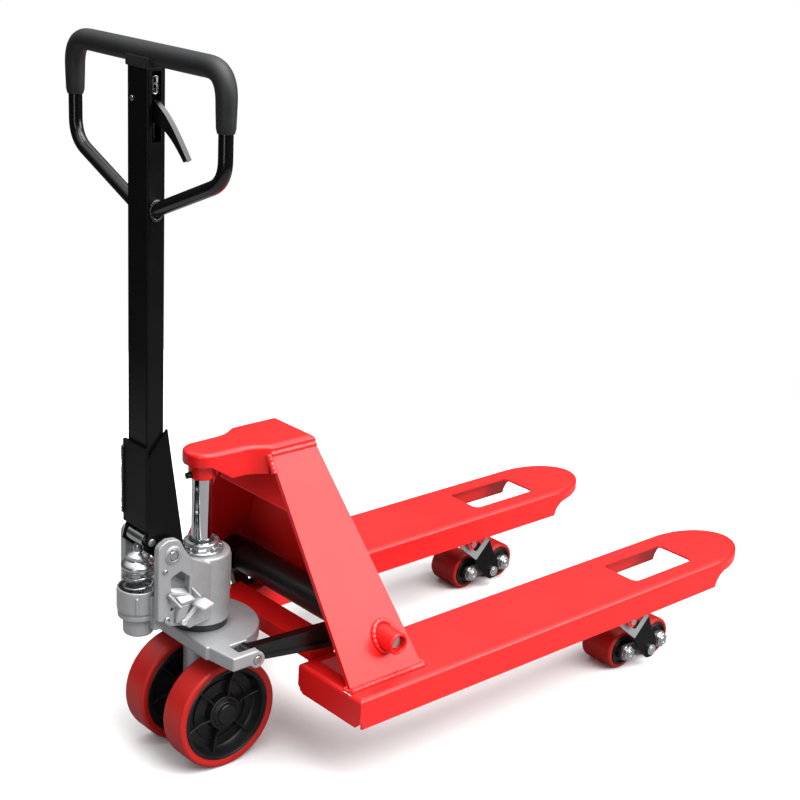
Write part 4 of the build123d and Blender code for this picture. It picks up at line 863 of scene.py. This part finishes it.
def make_plunger():
    """Plunger with its flared cap."""
    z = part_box("pump_plunger")[1].z * 1000
    cap = [(0, 281), (9, 281), (9, 345), (20, 345), (22, 344), (24.4, 344.2), (26, 346), (26.3, 349),
           (25.2, 352), (22, 355.2), (18.4, 358), (17.8, 360), (18.6, 362.4), (18.2, 365), (15.4, 367.6),
           (10, 369.6), (8, 372), (7.4, z - 3), (6, z - 0.6), (3, z), (0, z)]
    solid("plunger_cap", [lathe_bm(cap, CUP, UP, 96)], "zinc", "plunger", ["pump_plunger"], angle=34)


# ------------------------------------------------------------------ handle
BAR_X = (centre("drawbar").x - KING) * 1000
LOOP_FOOT, LOOP_KNEE = 890, 957
LOOP_INNER, LOOP_BEND, LOOP_R = 24, 46, 10
GRIP_BEND = 58


def loop_points(end_z, inner_y, low_z, top_z, half, radius):
    """Centre line of the hand loop, in the drawbar's plane."""
    line = [(half, end_z), (half, top_z), (-half, top_z), (-half, end_z)]
    if inner_y:
        line = [(inner_y, end_z), (half, low_z), (half, top_z), (-half, top_z), (-half, low_z),
                (-inner_y, end_z)]
    bends = [(*p, 0 if i in (0, len(line) - 1) else radius) for i, p in enumerate(line)]
    dense, smooth_line = [], rounded(bends, closed=False, steps=14)
    for a, b in zip(smooth_line, smooth_line[1:]):
        steps = max(1, int((Vector(b) - Vector(a)).length / 6))
        dense += [tuple(Vector(a).lerp(Vector(b), k / steps)) for k in range(steps)]
    dense.append(smooth_line[-1])
    return [at(BAR_X, y, z) for y, z in dense]


def make_loop():
    """Hand loop with its flared rubber sleeve, the moulded pad over the drawbar and two welds at its feet."""
    low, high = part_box("handle_grip")
    thick = (high.x - low.x) * 500
    top = high.z * 1000 - thick
    half = high.y * 1000 - thick
    end_z = low.z * 1000
    path = loop_points(LOOP_FOOT, LOOP_INNER, LOOP_KNEE, top, half, LOOP_BEND)
    solid("loop_tube", [sweep_bm(path, LOOP_R, 40, (1, 0, 0))], "black_gloss", "handle", ["handle_loop"],
          angle=60, weighted=False)
    path = loop_points(end_z + 1.5, 0, 0, top, half, GRIP_BEND)
    radii, travel = [], [0.0]
    for a, b in zip(path, path[1:]):
        travel.append(travel[-1] + (b - a).length * 1000)
    for run in travel:
        edge = min(run, travel[-1] - run)
        lip = 0.9 * exp(-((edge - 3) / 2.6) ** 2)
        radii.append(thick - 2.6 * exp(-edge / 46) - 1.4 * exp(-edge / 1.2) + lip)
    solid("grip_sleeve", [sweep_bm(path, radii, 56, (1, 0, 0))], "grip_rubber", "handle", ["handle_grip"],
          angle=50, weighted=False)
    pad = [(BAR_X + x, y, z) for x in (-16.6, 17) for y in (-28, 28) for z in (top - 19, top - 3)]
    solid("grip_pad", [hull_bm(pad, 2.0)], "grip_rubber", "handle", (), angle=40)
    for name, s in SIDES.items():
        ring = []
        for k in range(49):
            a = 2 * pi * k / 48
            x, z = (LOOP_R - 0.5) * cos(a), (LOOP_R + 3.5) * sin(a)
            ring.append(at(BAR_X + x, s * 25.8, LOOP_FOOT - 0.5 + z))
        weld(f"loop_weld_{name}", ring, 2.8, "weld_black", "handle", pitch=3.4, seed=11)


def make_handle():
    """Drawbar, hand loop, chain, bracket, lever and the pins of the handle."""
    refine("drawbar", 1.6, 3)
    make_loop()
    make_chain()
    refine("handle_bracket", 0.9, mat="black_matt")
    low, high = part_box("handle_bracket")
    run = [at((low.x - KING) * 1000 + 1.6, high.y * 1000 - 0.6, z) for z in (424, 532)]
    weld("bracket_weld", run, 2.8, "weld_black", "handle", pitch=5.2, seed=21)
    for node in ("press_roller_pin", "lever_pin", "pull_rod", "press_roller"):
        refine(node, 0.8, 3)
    refine("control_lever", 1.8, 3, mat="black_gloss")


# each link's rise over the lever pin, half of its straight length, and the way it lies
LINKS = ((16, 2.5, (1, 0, 0)), (22, 6, (0, 1, 0)), (28, 1, (1, 0, 0)))
LINK_R, LINK_WIRE, LINK_STEPS, CHAIN_Y = 4.2, 1.5, 40, -21


def make_chain():
    """Three links of the pull chain that show in the slot above the control lever."""
    lever_z = centre("lever_pin").z * 1000
    parts = []
    for rise, reach, across in LINKS:
        ring = []
        for j in range(LINK_STEPS):
            a = 2 * pi * j / LINK_STEPS
            u = LINK_R * cos(a)
            v = LINK_R * sin(a) + reach * max(-1.0, min(1.0, 2.2 * sin(a)))
            ring.append(at(BAR_X, CHAIN_Y, lever_z + rise) + (Vector(across) * u + Vector(UP) * v) / 1000)
        ring += ring[:2]
        parts.append(sweep_bm(ring, LINK_WIRE, seg=12))
    solid("pull_chain", parts, "zinc", "pull_rod", (), angle=60, weighted=False)


# ------------------------------------------------------------------ stage
FLOOR_R = 1.9
FLOOR_BOUNCE = 0.22  # how much light the floor throws back
SKY_LOW, SKY_HIGH = (0.35, 0.04), (0.95, 1.7)  # height and strength where the sky's light starts and is full


def make_floor():
    """Pale floor. It counts as darker for the light that it throws back, so undersides stay deep."""
    bm = bmesh.new()
    bmesh.ops.create_circle(bm, cap_ends=True, segments=96, radius=FLOOR_R)
    mesh = bpy.data.meshes.new("floor")
    bm.to_mesh(mesh)
    bm.free()
    floor = add_object("floor", mesh)
    mat = material("pale_floor", (0.93, 0.93, 0.93), (0.94, 0.94, 0.94), (0.8, 0.9), mottle=2, grain=60,
                   bump=0.02, specular=0.1)
    mesh.materials.append(mat)
    nodes, links = nodes_of(mat)
    eye = nodes.new("ShaderNodeLightPath")
    dim = nodes.new("ShaderNodeBsdfDiffuse")
    pick = nodes.new("ShaderNodeMixShader")
    feed(dim, Color=(FLOOR_BOUNCE, FLOOR_BOUNCE, FLOOR_BOUNCE, 1))
    links.new(eye.outputs["Is Camera Ray"], pick.inputs["Fac"])
    links.new(dim.outputs["BSDF"], pick.inputs[1])
    links.new(nodes["Principled BSDF"].outputs["BSDF"], pick.inputs[2])
    links.new(pick.outputs["Shader"], nodes["Material Output"].inputs["Surface"])


def area(name, place_at, target, size, power):
    """Rectangular softbox that the camera doesn't see."""
    light = bpy.data.lights.new(name, "AREA")
    light.shape, light.size, light.size_y = "RECTANGLE", size[0], size[1]
    light.energy = power
    obj = add_object(name, light)
    obj.location = place_at
    obj.rotation_euler = (Vector(target) - Vector(place_at)).to_track_quat("-Z", "Y").to_euler()
    obj.visible_camera = False


def make_sky():
    """White backdrop for the camera, and for the light a sky that is dark near the floor and bright above."""
    world = bpy.data.worlds.new("studio")
    bpy.context.scene.world = world
    nodes, links = nodes_of(world)
    nodes.clear()
    out = nodes.new("ShaderNodeOutputWorld")
    seen = nodes.new("ShaderNodeBackground")
    lit = nodes.new("ShaderNodeBackground")
    path = nodes.new("ShaderNodeLightPath")
    mix = nodes.new("ShaderNodeMixShader")
    space = nodes.new("ShaderNodeTexCoord")
    parts = nodes.new("ShaderNodeSeparateXYZ")
    height = nodes.new("ShaderNodeMapRange")
    feed(height, From_Min=SKY_LOW[0], To_Min=SKY_LOW[1], From_Max=SKY_HIGH[0], To_Max=SKY_HIGH[1])
    links.new(space.outputs["Generated"], parts.inputs["Vector"])
    links.new(parts.outputs["Z"], height.inputs["Value"])
    links.new(height.outputs["Result"], lit.inputs["Strength"])
    feed(lit, Color=(1, 1, 1, 1))
    feed(seen, Color=(1, 1, 1, 1), Strength=1.0)
    links.new(path.outputs["Is Camera Ray"], mix.inputs["Fac"])
    links.new(lit.outputs["Background"], mix.inputs[1])
    links.new(seen.outputs["Background"], mix.inputs[2])
    links.new(mix.outputs["Shader"], out.inputs["Surface"])


def make_stage():
    """Floor, three softboxes, a wide soft window light and the sky."""
    make_floor()
    area("softbox_top", (0.0, -0.2, 3.0), (0, 0, 0.3), (2.6, 1.8), 60)
    area("softbox_right", (1.9, -2.2, 1.75), (0.0, 0, 0.3), (1.9, 1.6), 50)
    area("softbox_left", (-2.6, -1.4, 1.1), (0.0, 0, 0.2), (0.5, 1.6), 9)
    sun = bpy.data.lights.new("window", "SUN")
    sun.energy, sun.angle = 2.6, radians(50)
    obj = add_object("window", sun)
    obj.rotation_euler = Vector((-0.15, 0.62, -0.75)).to_track_quat("-Z", "Y").to_euler()
    make_sky()
    bpy.context.scene.view_settings.view_transform = "Standard"


CAMERA_AT = (-1336.66, -1866.48, 1389.80)
CAMERA_TURN = (-41.15, 19.137, -2.62)  # azimuth, elevation and roll in degrees
SENSOR, LENS, SHIFT = 36, 73.18, 0.0595


def make_camera():
    """Camera at the photo's viewing angle, on the right of the handle end."""
    azimuth, elevation, roll = (radians(v) for v in CAMERA_TURN)
    forward = Vector((-sin(azimuth) * cos(elevation), cos(azimuth) * cos(elevation),
                      -sin(elevation)))
    right = Vector((cos(azimuth), sin(azimuth), 0))
    up = right.cross(forward)
    cam_x = right * cos(roll) - up * sin(roll)
    cam_y = up * cos(roll) + right * sin(roll)
    cam = bpy.data.cameras.new("camera")
    cam.sensor_width, cam.lens, cam.shift_x = SENSOR, LENS, SHIFT
    cam.clip_start, cam.clip_end = 0.05, 60
    obj = add_object("camera", cam)
    turn = Matrix((cam_x, cam_y, -forward)).transposed().to_4x4()
    obj.matrix_world = Matrix.Translation(at(*CAMERA_AT)) @ turn
    bpy.context.scene.camera = obj


make_frame()
make_bushes()
make_welds()
make_steer_wheels()
make_rollers()
make_linkage()
make_pump()
make_handle()
make_stage()
make_camera()
